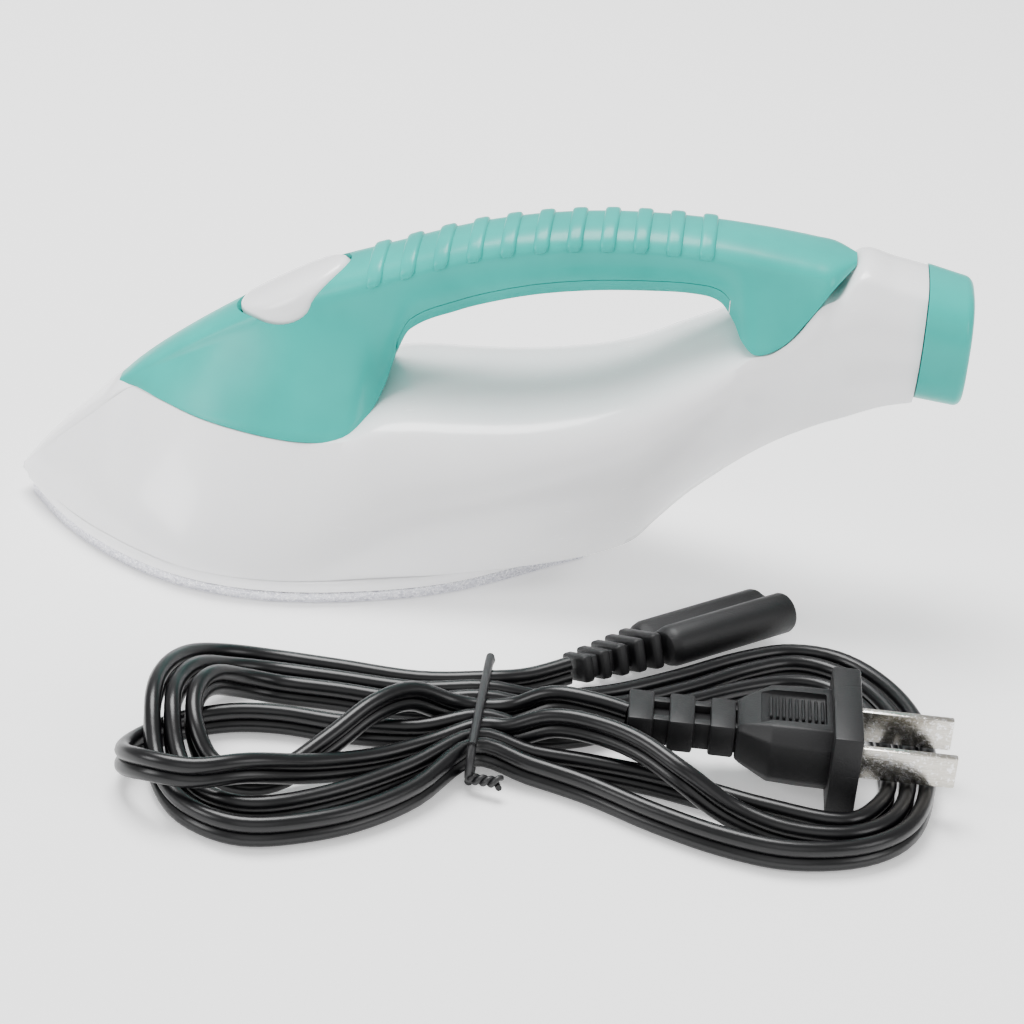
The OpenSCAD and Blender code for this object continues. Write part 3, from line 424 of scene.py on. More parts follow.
@dataclass(frozen=True)
class Metal:
    """A bare or plated metal with a directional finish and small flecks.

    Args:
        name: the material's name.
        colour: its sRGB hex colour.
        shade: hex colour of its darker streaks.
        roughness: lowest and highest roughness.
        line_mm: width of the brushing or rolling lines.
        stretch: how much longer than wide the lines are.
        flecks: strength of the bright and dark flecks.
        fleck_mm: size of the flecks.
    """

    name: str
    colour: str
    shade: str
    roughness: tuple[float, float]
    line_mm: float = 0.3
    stretch: float = 30.0
    flecks: float = 0.0
    fleck_mm: float = 1.2

    def build(self) -> bpy.types.Material:
        """Makes the material."""
        mat, tree, shader = blank_material(self.name)
        shader.inputs["Metallic"].default_value = 1.0
        at = node(tree, "ShaderNodeTexCoord").outputs["Object"]
        fine = 1 / (self.line_mm * MM)
        lay = node(tree, "ShaderNodeMapping", {"Vector": at, "Scale": (fine / self.stretch, fine, fine)})
        lines = node(tree, "ShaderNodeTexNoise", {"Vector": lay.outputs[0], "Scale": 1.0, "Detail": 3.0})
        spots = node(tree, "ShaderNodeTexNoise",
                     {"Vector": at, "Scale": 1 / (self.fleck_mm * MM), "Detail": 4.0, "Roughness": 0.7})
        fleck = ramp(tree, spots.outputs["Fac"], [(0.52, grey(0)), (0.6, grey(self.flecks))])
        streak = ramp(tree, lines.outputs["Fac"], [(0.3, linear(self.shade)), (0.6, linear(self.colour))])
        mixed = node(tree, "ShaderNodeMix", {"Factor": fleck, 6: streak, 7: linear("fbfbfd")},
                     data_type="RGBA")
        tree.links.new(mixed.outputs[2], shader.inputs["Base Color"])
        rough = node(tree, "ShaderNodeMapRange", {"Value": lines.outputs["Fac"], "To Min": self.roughness[0],
                                                  "To Max": self.roughness[1]})
        tree.links.new(rough.outputs[0], shader.inputs["Roughness"])
        height = node(tree, "ShaderNodeMath", {0: lines.outputs["Fac"], 1: fleck}, operation="ADD")
        bump = node(tree, "ShaderNodeBump",
                    {"Height": height.outputs[0], "Distance": 0.012 * MM, "Strength": 1.0})
        tree.links.new(bump.outputs[0], shader.inputs["Normal"])
        return mat


class Finish(Enum):
    """Every finish on the iron and its lead."""

    # glossy white polypropylene: soft reflections, bright in shade because it scatters light inside
    WHITE = Moulded("white_pp_moulded", "fbfbfc", "f7f7f9", 0.24, 0.34, coat=0.35, grain_mm=1.2, grain=0.004,
                    translucency=0.15)
    # satin teal polypropylene: a broad highlight with faint pale scuffs
    TEAL = Moulded("teal_pp_moulded", "03ada2", "019f95", 0.34, 0.5, coat=0.05, grain_mm=0.6, grain=0.008,
                   specular=0.3)
    # soft PVC over-moulding of the plug and connector: dull with a fine sand grain
    SOFT_BLACK = Moulded("black_pvc_moulded", "0d0d0f", "09090b", 0.5, 0.6, grain_mm=0.35, grain=0.03,
                         ior=1.42)
    # extruded PVC sheath: smoother than the mouldings, a long narrow shine
    SHEATH = Moulded("black_pvc_extruded", "08080a", "060608", 0.3, 0.42, grain_mm=0.8, grain=0.006, ior=1.42)
    TIE = Moulded("grey_pvc_coating", "1c1c1e", "161618", 0.45, 0.55, grain_mm=0.4, grain=0.01)
    BLACK = Moulded("black_nylon_moulded", "1b1b1e", "161618", 0.4, 0.5, grain_mm=0.5, grain=0.012, ior=1.53)
    RED = Moulded("red_acetal_moulded", "a3231c", "951d17", 0.35, 0.45, grain_mm=0.5, grain=0.008)
    CERAMIC = Moulded("steatite_pressed", "e6e0d0", "dcd5c2", 0.6, 0.7, grain_mm=0.3, grain=0.02, ior=1.6)
    BROWN_WIRE = Moulded("brown_insulation_extruded", "5b3218", "4f2a13", 0.4, 0.5)
    BLACK_WIRE = Moulded("black_insulation_extruded", "1a1a1c", "141416", 0.4, 0.5)
    BLUE_WIRE = Moulded("blue_insulation_extruded", "20509e", "1b468c", 0.4, 0.5)
    SLEEVE = Moulded("glass_sleeving_woven", "dedbd0", "c9c5b6", 0.7, 0.8, grain_mm=0.4, grain=0.08)
    # polished cast aluminium: bright with sparkling flecks where the casting's skin was ground off
    SOLE = Metal("aluminium_cast_polished", "d6d6dd", "a9a9b4", (0.16, 0.34), line_mm=0.4, stretch=12,
                 flecks=0.7, fleck_mm=0.5)
    NICKEL = Metal("brass_nickel_plated", "cfcbc2", "b3aea3", (0.16, 0.3), line_mm=0.12, stretch=40,
                   flecks=0.7, fleck_mm=0.8)
    ZINC = Metal("steel_zinc_plated", "b9bcc0", "9a9da2", (0.28, 0.42), line_mm=0.2, stretch=8)
    TUBE = Metal("steel_heat_tinted", "8f867a", "6f665c", (0.35, 0.5), line_mm=0.2, stretch=20)
    BRASS = Metal("brass_plain", "d8b566", "b8934a", (0.25, 0.4), line_mm=0.15, stretch=12)


_BUILT: dict[str, bpy.types.Material] = {}


def dress(piece: bpy.types.Object, finish: Finish) -> None:
    """Gives a piece one finish all over."""
    if finish.name not in _BUILT:
        _BUILT[finish.name] = finish.value.build()
    piece.data.materials.clear()
    piece.data.materials.append(_BUILT[finish.name])


def add(piece: bpy.types.Object, body: str, slot: str, finish: Finish, *nodes: str) -> bpy.types.Object:
    """Dresses a new piece, rides it on its body and says which CAD nodes it stands for."""
    dress(piece, finish)
    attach(piece, body)
    if nodes:
        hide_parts(*nodes)
    LOG.info("%s: %d faces, on %s, for %s", piece.name, len(piece.data.polygons), body,
             ", ".join(nodes) or "-")
    return piece


# ---------------------------------------------------------------- studio

@dataclass
class Studio:
    """Floor, soft lights and the camera."""

    target: Point = (0.0071, 0.0149, 0.0)
    distance: float = 0.65
    elevation_deg: float = 28.0
    azimuth_deg: float = 3.0
    roll_deg: float = 5.5
    lens_mm: float = 110.37
    sensor_mm: float = 36.0

    def camera(self) -> None:
        """Places the camera."""
        e, a, r = (math.radians(v) for v in (self.elevation_deg, self.azimuth_deg, self.roll_deg))
        back = Vector((math.sin(a) * math.cos(e), -math.cos(a) * math.cos(e), math.sin(e)))
        right = (-back).cross(Vector((0, 0, 1))).normalized()
        up = right.cross(-back)
        axes = (right * math.cos(r) + up * math.sin(r), up * math.cos(r) - right * math.sin(r), back)
        turn = Matrix(axes).transposed().to_4x4()
        data = bpy.data.cameras.new("camera")
        data.lens = self.lens_mm
        data.sensor_width = self.sensor_mm
        data.clip_start = 0.01
        camera = bpy.data.objects.new("camera", data)
        camera.matrix_world = Matrix.Translation(Vector(self.target) + back * self.distance) @ turn
        bpy.context.collection.objects.link(camera)
        bpy.context.scene.camera = camera

    def floor(self) -> None:
        """Lays the pale floor."""
        bm = bmesh.new()
        bmesh.ops.create_grid(bm, x_segments=1, y_segments=1, size=3.0)
        floor = finished(bm, "studio_floor")
        mat, _, shader = blank_material("studio_floor_paper")
        shader.inputs["Base Color"].default_value = linear("fafafa")
        shader.inputs["Roughness"].default_value = 0.9
        shader.inputs["Emission Color"].default_value = linear("ffffff")
        shader.inputs["Emission Strength"].default_value = 0.35
        floor.data.materials.append(mat)
        floor.location.z = -0.0002

    def light(self, name: str, place: Point, size: float, power: float,
              aim: Point = (0.0, -0.02, 0.03)) -> None:
        """Hangs one soft square light."""
        data = bpy.data.lights.new(name, "AREA")
        data.shape = "SQUARE"
        data.size = size
        data.energy = power
        lamp = bpy.data.objects.new(name, data)
        lamp.location = place
        lamp.rotation_euler = (Vector(aim) - Vector(place)).to_track_quat("-Z", "Y").to_euler()
        bpy.context.collection.objects.link(lamp)

    def build(self) -> None:
        """Makes the whole studio."""
        self.camera()
        self.floor()
        self.light("overhead_softbox", (-0.15, 0.2, 0.9), 0.5, 15.0)
        self.light("left_softbox", (-0.8, -0.5, 0.5), 0.4, 4.5)
        self.light("right_softbox", (0.8, -0.4, 0.45), 0.4, 2.5)
        self.light("front_fill", (0.1, -1.0, 0.6), 0.8, 2.5)
        world = bpy.data.worlds.new("studio_world")
        world.use_nodes = True
        world.node_tree.nodes["Background"].inputs["Color"].default_value = linear("ffffff")
        world.node_tree.nodes["Background"].inputs["Strength"].default_value = 0.6
        bpy.context.scene.world = world


# ---------------------------------------------------------------- shells

def shell_point(rows: Stations, x: float, s: float, top: Optional[Stations] = None, grow: float = 0.0,
                drop: float = 0.0) -> Point:
    """A point on a lofted shell.

    Args:
        rows: the shell's stations.
        x: place along the iron.
        s: place round the section: 0 on the top middle, 1 the shoulder, 2 the lower edge, 3 across the
            underside; negative on the -Y side.
        top: stations of the top middle line, where the shell's own rows don't hold it.
        grow: how far outside the stated skin the point lies.
        drop: how far the lower edge is moved down.

    Returns:
        The point, in millimetres.
    """
    low_z, low_w, c1, c2, sh_w, sh_z = (rows.at(x, c) for c in range(1, 7))
    top_z = top.at(x) if top else rows.at(x, 7)
    floor = low_z - drop
    side = 1.0 if s >= 0 else -1.0
    a = abs(s)
    if a >= 2:
        return (x, side * max(low_w + grow - (0.05 if drop > 0 else 0.0), 0.25) * (5 - 2 * a), floor)
    if a >= 1:
        h = sh_z - low_z
        t = 2 - a
        y, z = bezier((low_w, low_z), (c1, low_z + 0.33 * h), (c2, low_z + 0.7 * h), (sh_w, sh_z), t)
        z += grow * t
        return (x, side * max(y + grow, 0.3), max(z, floor + 0.01) if drop < 0 else z)
    t = 1 - a
    lean = sh_w - 0.1 * (sh_w - c2) - 0.12 * sh_w
    y, z = bezier((sh_w, sh_z), (lean, sh_z + 0.75 * (top_z - sh_z)), (0.5 * sh_w, top_z), (0, top_z), t)
    return (x, side * max(y + grow * (1 - t), 0.0), z + grow)


def shell_solid(rows: Stations, xs: Sequence[float], top: Optional[Stations] = None, grow: float = 0.0,
                drop: Callable[[float], float] = lambda x: 0.0, side_n: int = 12,
                top_n: int = 10) -> bmesh.types.BMesh:
    """A closed solid lofted through a shell's sections, with flat ends."""
    ring = [-2, -1.9999] + [-2 + i / side_n for i in range(1, side_n)]
    ring += [-1 + i / top_n for i in range(2 * top_n)]
    ring += [1 + i / side_n for i in range(side_n)] + [1.9999, 2, 2.25, 2.5, 2.75, 3]
    bm = warped_grid(xs, ring, lambda x, s: shell_point(rows, x, s, top, grow, drop(x)))
    close_ends(bm)
    return bm


def steps_between(*knots: tuple[float, int]) -> list[float]:
    """Values through (end, count) pairs, the first pair's count unused."""
    values = [knots[0][0]]
    for (a, _), (b, count) in zip(knots, knots[1:]):
        values += spread(a, b, count)[1:]
    return values


def tool(bm: bmesh.types.BMesh) -> bpy.types.Object:
    """A short-lived object from a bmesh, to cut with."""
    return finished(bm, "cutting_tool")


def rod_tool(start: Point, end: Point, radius: float, segments: int = 32) -> bpy.types.Object:
    """A short-lived round rod to cut with."""
    bm = bmesh.new()
    rod_into(bm, start, end, radius, segments)
    return tool(bm)


def box_tool(low: Point, high: Point, bevel_mm: float = 0.0) -> bpy.types.Object:
    """A short-lived box to cut with."""
    bm = bmesh.new()
    box_into(bm, low, high, bevel_mm)
    return tool(bm)


@dataclass
class Crest:
    """The thumb button's frame: the crest at the button, and the outline round it."""

    x: float = -40.0
    slope_deg: float = 32.0
    length: float = 24.0
    width: float = 17.0

    def frame(self) -> Matrix:
        """Row frame from the button's own frame, in millimetres."""
        place = Matrix.Translation((self.x, 0, CREST.at(self.x)))
        return place @ Matrix.Rotation(-math.radians(self.slope_deg), 4, "Y")

    def outline(self, angle: float, grow: float = 0.0, share: float = 1.0) -> tuple[float, float]:
        """Point of the outline at an angle, grown, at a share of the way out from the middle."""
        u = math.cos(angle)
        return ((self.length / 2 + grow) * u * share + 0.8,
                (self.width / 2 + grow) * math.sin(angle) * (1 - 0.08 * u) * share)

    def prism(self, grow: float, low: float, high: float, count: int = 72) -> bmesh.types.BMesh:
        """The outline carried from one height to another, closed."""
        matrix = self.frame()

        def place(h: float, turn: float) -> Point:
            u, v = self.outline(turn, grow)
            return tuple(matrix @ Vector((u, v, h)))

        bm = warped_grid([low, high], spread(0, 2 * math.pi, count), place)
        close_ends(bm)
        return bm


@dataclass
class Shells:
    """The white body, its skirt and sole, and the two teal handle shells."""

    wall: float = 2.0
    seam: float = 0.2
    sole_t: float = 2.4
    skirt_z: float = 2.6
    skirt_h: float = 2.3
    lip_z: float = 6.9
    liner_h: float = 3.0
    boss_r: float = 3.4
    bosses: tuple[tuple[float, float], ...] = ((-36, 22.5), (-36, -22.5), (-66, 0))
    ridge_n: int = 11
    ridge_pitch: float = 6.28
    first_ridge_x: float = -22.4
    ridge_w: float = 3.1
    ridge_h: float = 1.0
    crest: Crest = field(default_factory=Crest)

    def leaf_loop(self, profile: Sequence[tuple[float, float]], closed: bool,
                  count: int = 72) -> bmesh.types.BMesh:
        """A solid of the leaf outline: profile is (inset, height) pairs, joined to itself or capped."""
        rows = list(profile) + ([profile[0]] if closed else [])

        def place(k: float, q: float) -> Point:
            inset, z = rows[int(k)]
            a, b = inset * 1.6, LEAF_LENGTH - inset * 2.2
            s = a + (b - a) * (1 - math.cos(math.pi * q)) / 2
            return (LEAF_TIP_X + s, leaf_half_width(s, inset) * (1 if q <= 1 else -1), z)

        around = spread(0, 1, count) + [1.0005] + spread(1, 2, count)[1:] + [0.0]
        bm = warped_grid(list(range(len(rows))), around, place)
        if not closed:
            close_ends(bm)
        return bm

    def sole(self) -> None:
        """The polished plate, its raised casting and the bosses on it."""
        t = self.sole_t
        profile = [(1.15, 0), (0.85, 0.12), (0.8, 0.4), (0.8, t - 0.35), (0.95, t), (6.5, t), (6.5, 7.7),
                   (6.8, 8)]
        bm = self.leaf_loop(profile, closed=False)
        for x, y in self.bosses:
            rod_into(bm, (x, y, 7.5), (x, y, 14), self.boss_r)
        add(finished(bm, "soleplate_polished"), "iron", "sole_metal", Finish.SOLE, "soleplate")

    def skirt(self) -> None:
        """The white rim that the body stands on."""
        z, top = self.skirt_z, self.skirt_z + self.skirt_h
        profile = [(0.5, z), (0.15, z + 0.12), (0, z + 0.45), (0, top - 0.4), (0.15, top - 0.1), (0.4, top),
                   (3.1, top), (3.1, self.lip_z), (5.1, self.lip_z), (5.1, z)]
        add(finished(self.leaf_loop(profile, closed=True), "sole_skirt_moulded"), "iron", "white_shell",
            Finish.WHITE, "sole_skirt")

    def body(self) -> None:
        """The white body with its scooped top and its tail up to the cap."""
        xs = steps_between((-92, 0), (-66, 44), (30, 80), (83, 70))
        piece = finished(shell_solid(BODY, xs), "body_shell_moulded")
        inner_x = steps_between((-86.6, 0), (-66, 16), (18.5, 46), (18.7, 1), (86, 64))
        inner = shell_solid(BODY, inner_x, grow=-self.wall, drop=lambda x: 3.0 if x < 18.6 else -self.wall)
        combine(piece, tool(inner), "DIFFERENCE")
        combine(piece, rod_tool((58, 0, 50), (58, 0, 62), 2.6), "DIFFERENCE")
        combine(piece, rod_tool((-38, 0, 20), (-38, 0, 50), 5), "DIFFERENCE")
        resharpen(piece)
        add(piece, "iron", "white_shell", Finish.WHITE, "body_shell")

    def window(self, gap: float) -> bmesh.types.BMesh:
        """The strip along the underside of the arch, where the lower shell sits."""
        corners = ((1, -4), (1, self.liner_h - gap), (-1, self.liner_h - gap), (-1, -4), (1, -4))

        def place(x: float, k: float) -> Point:
            side, up = corners[int(k)]
            return (x, side * (GRIP.at(x, 3) + 3), GRIP.at(x, 1) + up)

        xs = steps_between((-17.2 + gap, 0), (-10, 14), (40, 25), (46 - gap, 10))
        bm = warped_grid(xs, [0, 1, 2, 3, 4], place)
        close_ends(bm)
        return bm

    def handle(self) -> None:
        """The two teal shells, with the thumb button's opening and the ridges."""
        xs = steps_between((-72.5, 0), (-60, 26), (-28, 34), (-12, 40), (40, 52), (58, 44), (69, 26))
        whole = finished(shell_solid(GRIP, xs, CREST, drop=lambda x: -self.seam), "handle_top_shell_moulded")
        inner_x = steps_between((-65, 0), (-28, 40), (-12, 40), (40, 40), (63, 40))
        inner = shell_solid(GRIP, inner_x, CREST, grow=-self.wall,
                            drop=lambda x: 6.0 if x < -27 or x > 55 else -self.wall)
        combine(whole, tool(inner), "DIFFERENCE")
        liner = whole.copy()
        liner.data = whole.data.copy()
        liner.name = "handle_lower_shell_moulded"
        bpy.context.collection.objects.link(liner)
        combine(liner, tool(self.window(0.15)), "INTERSECT")
        combine(whole, tool(self.window(0.0)), "DIFFERENCE")
        combine(whole, tool(self.crest.prism(0.6, -13, 8)), "DIFFERENCE")
        bm = opened(whole)
        for i in range(self.ridge_n):
            self.ridge_into(bm, self.first_ridge_x + self.ridge_pitch * i)
        bm.to_mesh(whole.data)
        bm.free()
        resharpen(whole)
        resharpen(liner)
        add(whole, "iron", "teal_shell", Finish.TEAL, "handle_top_shell")
        add(liner, "iron", "teal_shell", Finish.TEAL, "handle_lower_shell")

    def ridge_into(self, bm: bmesh.types.BMesh, x: float) -> None:
        """Adds one grip ridge that crosses the crest at x and ends round on both flanks."""
        side_h = GRIP.at(x, 6) - GRIP.at(x, 1)
        reach = 1 + 0.4 / side_h
        tip = self.ridge_w / 2
        top_h = CREST.at(x) - GRIP.at(x, 6)
        ends = [reach - 0.4 / side_h, *(1 - e / (top_h + 4) for e in (0.1, 0.3, 0.6, 0.9, 1.3, 1.8, 2.4))]
        ss = [-reach, *(-e for e in ends), *spread(-0.6, 0.6, 16), *ends[::-1], reach]

        def place(s: float, v: float) -> Point:
            left = (1 - abs(s)) * (top_h + 4) + 0.4 if abs(s) < 1 else (reach - abs(s)) * side_h
            share = 1.0 if left >= tip else math.sqrt(max(1 - (1 - left / tip) ** 2, 0.0))
            at = x + v * tip * share
            here = Vector(shell_point(GRIP, at, s, CREST))
            ahead, behind = (Vector(shell_point(GRIP, at + d, s, CREST)) for d in (0.2, -0.2))
            past, short = (Vector(shell_point(GRIP, at, s + d, CREST)) for d in (0.02, -0.02))
            out = (past - short).cross(ahead - behind).normalized()
            if out.dot(here - Vector((at, 0, GRIP.at(at, 1)))) < 0:
                out.negate()
            rise = self.ridge_h * max(1 - abs(v) ** 6, 0.0) ** 0.5 * share**0.5
            return tuple(here + out * (rise - 0.3))

        half = [0.2, 0.5, 0.74, 0.86, 0.94, 0.985, 1]
        ridge = warped_grid(ss, [-v for v in reversed(half)] + half, place)
        close_ends(ridge)
        merge_into(bm, ridge)


@dataclass
class Button:
    """The white thumb button, which follows the crest and stands a little proud of it."""

    crest: Crest = field(default_factory=Crest)
    proud: float = 0.55
    edge_r: float = 1.3
    depth: float = 5.0
    hinge: tuple[float, float] = (-48.6, 40.8)

    def build(self) -> None:
        """Makes the button on its own body."""
        matrix = self.crest.frame()
        form = shell_solid(GRIP, spread(-60, -22, 60), CREST, grow=self.proud)
        bmesh.ops.transform(form, matrix=Matrix.Scale(1 / MM, 4), verts=form.verts)
        bmesh.ops.transform(form, matrix=matrix.inverted(), verts=form.verts)
        tree = BVHTree.FromBMesh(form)
        form.free()
        half = self.crest.width / 2
        arc = [self.edge_r * (1 - math.cos(math.radians(a))) for a in (15, 30, 45, 60, 75)]
        shares = [i / 12 for i in range(1, 11)]
        shares = [0.02] + [s for s in shares if s < 1 - self.edge_r / half - 0.02]
        shares += [1 - (self.edge_r - e) / half for e in [0.0] + arc] + [1.0]
        rows = [(s, None) for s in shares] + [(1.0, 0.8), (1.0, self.depth)]

        def place(k: float, turn: float) -> Point:
            share, down = rows[int(k)]
            u, v = self.crest.outline(turn, 0.0, share)
            top = tree.ray_cast(Vector((u, v, 20)), Vector((0, 0, -1)))[0].z
            inside = (1 - share) * half
            drop = self.edge_r - math.sqrt(max(self.edge_r**2 - max(self.edge_r - inside, 0) ** 2, 0.0))
            return tuple(matrix @ Vector((u, v, top - drop - (down or 0.0))))

        bm = warped_grid(list(range(len(rows))), spread(0, 2 * math.pi, 96), place)
        close_ends(bm)
        x, z = self.hinge
        for s in (-1, 1):
            rod_into(bm, (x, s * 2.4 - 0.8, z), (x, s * 2.4 + 0.8, z), 2.2)
            box_into(bm, (x + 0.4, s * 2.4 - 0.8, z), (x + 3.8, s * 2.4 + 0.8, z + 6))
        rod_into(bm, (-33, 0, 47.9), (-33, 0, 53.5), 1.8)
        rod_into(bm, (-42, 0, 42.3), (-42, 0, 49.8), 2.6)
        add(finished(bm, "power_button_moulded"), "button", "white_button", Finish.WHITE, "power_button")


@dataclass
class Cap:
    """The teal end cap round the inlet."""

    start: float = 83.2
    end: float = 92.25
    half_w: float = 12.7
    half_h: float = 12.0
    mid_z: float = 58.0
    inlet_z: float = 57.6
    pitch: float = 8.6

    def form(self, inset: float, a: float, b: float, count: int = 96) -> bmesh.types.BMesh:
        """The cap's rounded rectangular form between two places, drawn in by inset."""
        def lump(value: float) -> float:
            return math.copysign(abs(value) ** 0.72, value)

        def place(u: float, turn: float) -> Point:
            e = 0.5 * u + 1.6 * (1 - math.sqrt(max(1 - (max(u - 0.82, 0) / 0.18) ** 2, 0.0)))
            return (a + (b - a) * u, (self.half_w - e - inset) * lump(math.cos(turn)),
                    self.mid_z + 0.2 - 1.4 * u + (self.half_h - e - inset) * lump(math.sin(turn)))

        us = [0, 0.02, 0.2, 0.4, 0.6, 0.8, 0.84, 0.88, 0.92, 0.95, 0.97, 0.985, 0.995, 1]
        bm = warped_grid(us, spread(0, 2 * math.pi, count), place)
        close_ends(bm)
        return bm

    def build(self) -> None:
        """Makes the cap."""
        piece = finished(self.form(0, self.start, self.end), "end_cap_moulded")
        combine(piece, tool(self.form(1.8, self.start - 1, self.end - 2)), "DIFFERENCE")
        for s in (-1, 1):
            at = s * self.pitch / 2
            combine(piece, rod_tool((80, at, self.inlet_z), (99, at, self.inlet_z), 5.9, 48), "DIFFERENCE")
        combine(piece, box_tool((80, -self.pitch / 2, self.inlet_z - 5.07),
                                (99, self.pitch / 2, self.inlet_z + 5.07)), "DIFFERENCE")
        bm = opened(piece)
        for s in (-1, 1):
            z = self.mid_z + s * 8.9
            box_into(bm, (77, -3, z - 0.6), (84.2, 3, z + 0.6), 0.2)
        bm.to_mesh(piece.data)
        bm.free()
        resharpen(piece)
        add(piece, "iron", "teal_shell", Finish.TEAL, "end_cap")


# ---------------------------------------------------------------- lead

@dataclass
class Lead:
    """The flat twin lead, coiled and tied, with its plug and its figure-8 connector."""

    height: float = 5.8
    thick: float = 3.0
    tie_x: float = 9.5
    slot_0: float = -62.5
    slot_pitch: float = 3.35
    slot_z: float = 4.7
    plug_tail: Point = (36.0, -75.5, 9.5)
    plug_turn: float = 1.5
    flange_x: float = 36.5
    blade_y: float = 6.35
    blade_t: float = 1.5
    blade_w: float = 6.3
    connector_tail: Point = (25.0, -54.5, 5.7)
    connector_turn: float = 41.0
    connector_roll: float = -22.0
    pitch: float = 8.6

    def slot(self, i: int) -> Point:
        """Place of strand i where it passes through the tie."""
        return (self.tie_x, self.slot_0 - (i - 1) * self.slot_pitch, self.slot_z)

    def knots(self) -> list[Vector]:
        """The route's points, from the connector round the loops to the plug."""
        s = self.slot
        rows = [
            (24.2, -55.3, 5.6), (17, -59.6, 4.7), s(1), (-3, -63.4, 3.4), (-18, -62, 3), (-30, -61.5, 3),
            (-39.1, -65, 5), (-44.9, -72.5, 8.2), (-47.4, -82, 10), (-47.2, -92, 10), (-44.6, -102, 5.2),
            (-40.3, -109.5, 3), (-34.1, -115, 3), (-26.6, -117, 3), (-18, -114.5, 3), (-8, -108.4, 3),
            (1, -99, 3.3), s(8), (20, -87.4, 3.3), (31, -91, 3), (43, -97.2, 3), (55.6, -102, 3),
            (67.4, -103.5, 3), (79.8, -99.6, 3), (87.8, -91, 3), (91, -77, 3), (90.4, -61, 3),
            (85.2, -47, 3), (76.3, -37.5, 3), (66, -36, 3), (55.6, -41.5, 3), (44, -51, 3), (32, -59.4, 3),
            (20, -64.2, 3.3), s(2), (-3, -67, 3.4), (-18, -66, 3), (-29.1, -65.8, 3), (-37, -69.5, 5),
            (-42, -76.5, 8.6), (-44, -84, 9.8), (-43.6, -92.5, 9.7), (-41.1, -100.5, 5.4),
            (-36.6, -107, 3), (-30, -110.6, 3), (-22.5, -109.6, 3), (-12, -103, 3), (-1, -93, 3.3), s(7),
            (20, -83.6, 3.3), (30, -83.9, 3), (41, -85.4, 3), (51.9, -88.2, 3), (62, -91, 3),
            (75.2, -92.9, 3), (81.4, -87.2, 3), (83.9, -77, 3), (80.8, -57, 3), (73.5, -48.5, 3),
            (65.5, -47.6, 3), (56.6, -52, 3), (47, -59, 3), (37, -66, 3), (28, -72.4, 3), (19, -75.8, 3.4),
            s(5), (-1, -79.6, 3.2), (-14, -81, 3), (-25.8, -80.4, 3), (-34.9, -82, 3), (-43.2, -86.8, 3),
            (-49, -94.5, 3.4), (-49.9, -104, 6.2), (-44.5, -110.6, 9.6), (-36.2, -111.8, 10),
            (-27.5, -107.6, 9.6), (-18, -100, 6), (-8, -92, 3.6), (1, -85, 3.4), s(6), (15.6, -79.4, 5.6),
            (23, -79.8, 9), (31, -81.8, 9.9), (39, -85.6, 9.8), (47, -91.4, 8.4), (55.6, -94.2, 4.4),
            (66, -97.3, 3), (77.4, -96.4, 3), (84.8, -89.4, 3), (87.5, -77, 3), (86.4, -60, 3),
            (81, -48, 3), (74, -41.6, 3), (66, -40.2, 3), (57, -45.4, 3), (46, -54.8, 3), (34, -63, 3),
            (21, -68, 3.3), s(3), (-3, -71, 3.2), (-17, -70.2, 3), (-27.5, -70.2, 3), (-34.5, -73.8, 5.6),
            (-38.6, -80, 9.2), (-40.3, -87, 10), (-39.3, -94, 8), (-35.4, -99.4, 4), (-29.1, -101.6, 3),
            (-22.5, -98.6, 3.4), (-15.5, -91.6, 6.6), (-9, -83.6, 9.6), (-3, -77, 9.2), (3.5, -73.6, 5.8),
            s(4), (16, -72.1, 5.8), (22.5, -72.7, 9.4), (30, -74.1, 9.9), (35.9, -75.45, 9.5),
        ]
        return [Vector(p) for p in rows]

    @staticmethod
    def through(points: Sequence[Vector], at: float) -> Vector:
        """Point on the smooth line through the points, at a place counted in spans."""
        i = min(int(at), len(points) - 2)
        t = at - i
        p0, p1, p2, p3 = (points[min(max(k, 0), len(points) - 1)] for k in (i - 1, i, i + 1, i + 2))
        return 0.5 * (2 * p1 + (p2 - p0) * t + (2 * p0 - 5 * p1 + 4 * p2 - p3) * t * t
                      + (3 * p1 - p0 - 3 * p2 + p3) * t**3)

    def profile(self) -> list[tuple[float, float]]:
        """Section of the lead, two round cores side by side with a groove between them: (across, up)."""
        r = self.thick / 2
        up = self.height / 2 - r
        turns = [math.radians(a) for a in range(-60, 241, 20)]
        upper = [(r * math.cos(a), up + r * math.sin(a)) for a in turns]
        lower = [(-y, -z) for y, z in upper]
        return [(0.66 * r, 0.0)] + upper + [(-0.66 * r, 0.0)] + lower

    def cord(self) -> None:
        """The flat lead, standing on edge."""
        knots = self.knots()
        per = 5
        count = (len(knots) - 1) * per
        line = [self.through(knots, i / per) for i in range(count + 1)]
        section = self.profile()

        def place(i: float, k: float) -> Point:
            i = int(i)
            ahead = (line[min(i + 1, count)] - line[max(i - 1, 0)]).normalized()
            side = ahead.cross(Vector((0, 0, 1))).normalized()
            up = side.cross(ahead)
            across, high = section[int(k) % len(section)]
            return tuple(line[i] + side * across + up * high)

        bm = bmesh.new()
        bmesh.ops.create_grid(bm, x_segments=count, y_segments=len(section), size=1.0)
        for v in bm.verts:
            i, k = round((v.co.x + 1) / 2 * count), round((v.co.y + 1) / 2 * len(section))
            v.co = Vector(place(i, k)) * MM
        bmesh.ops.remove_doubles(bm, verts=bm.verts, dist=0.002 * MM)
        close_ends(bm)
        piece = add(finished(bm, "lead_cord_extruded", CORD_SHARP_DEG), "power_lead", "lead_sheath",
                    Finish.SHEATH, "lead_cord")

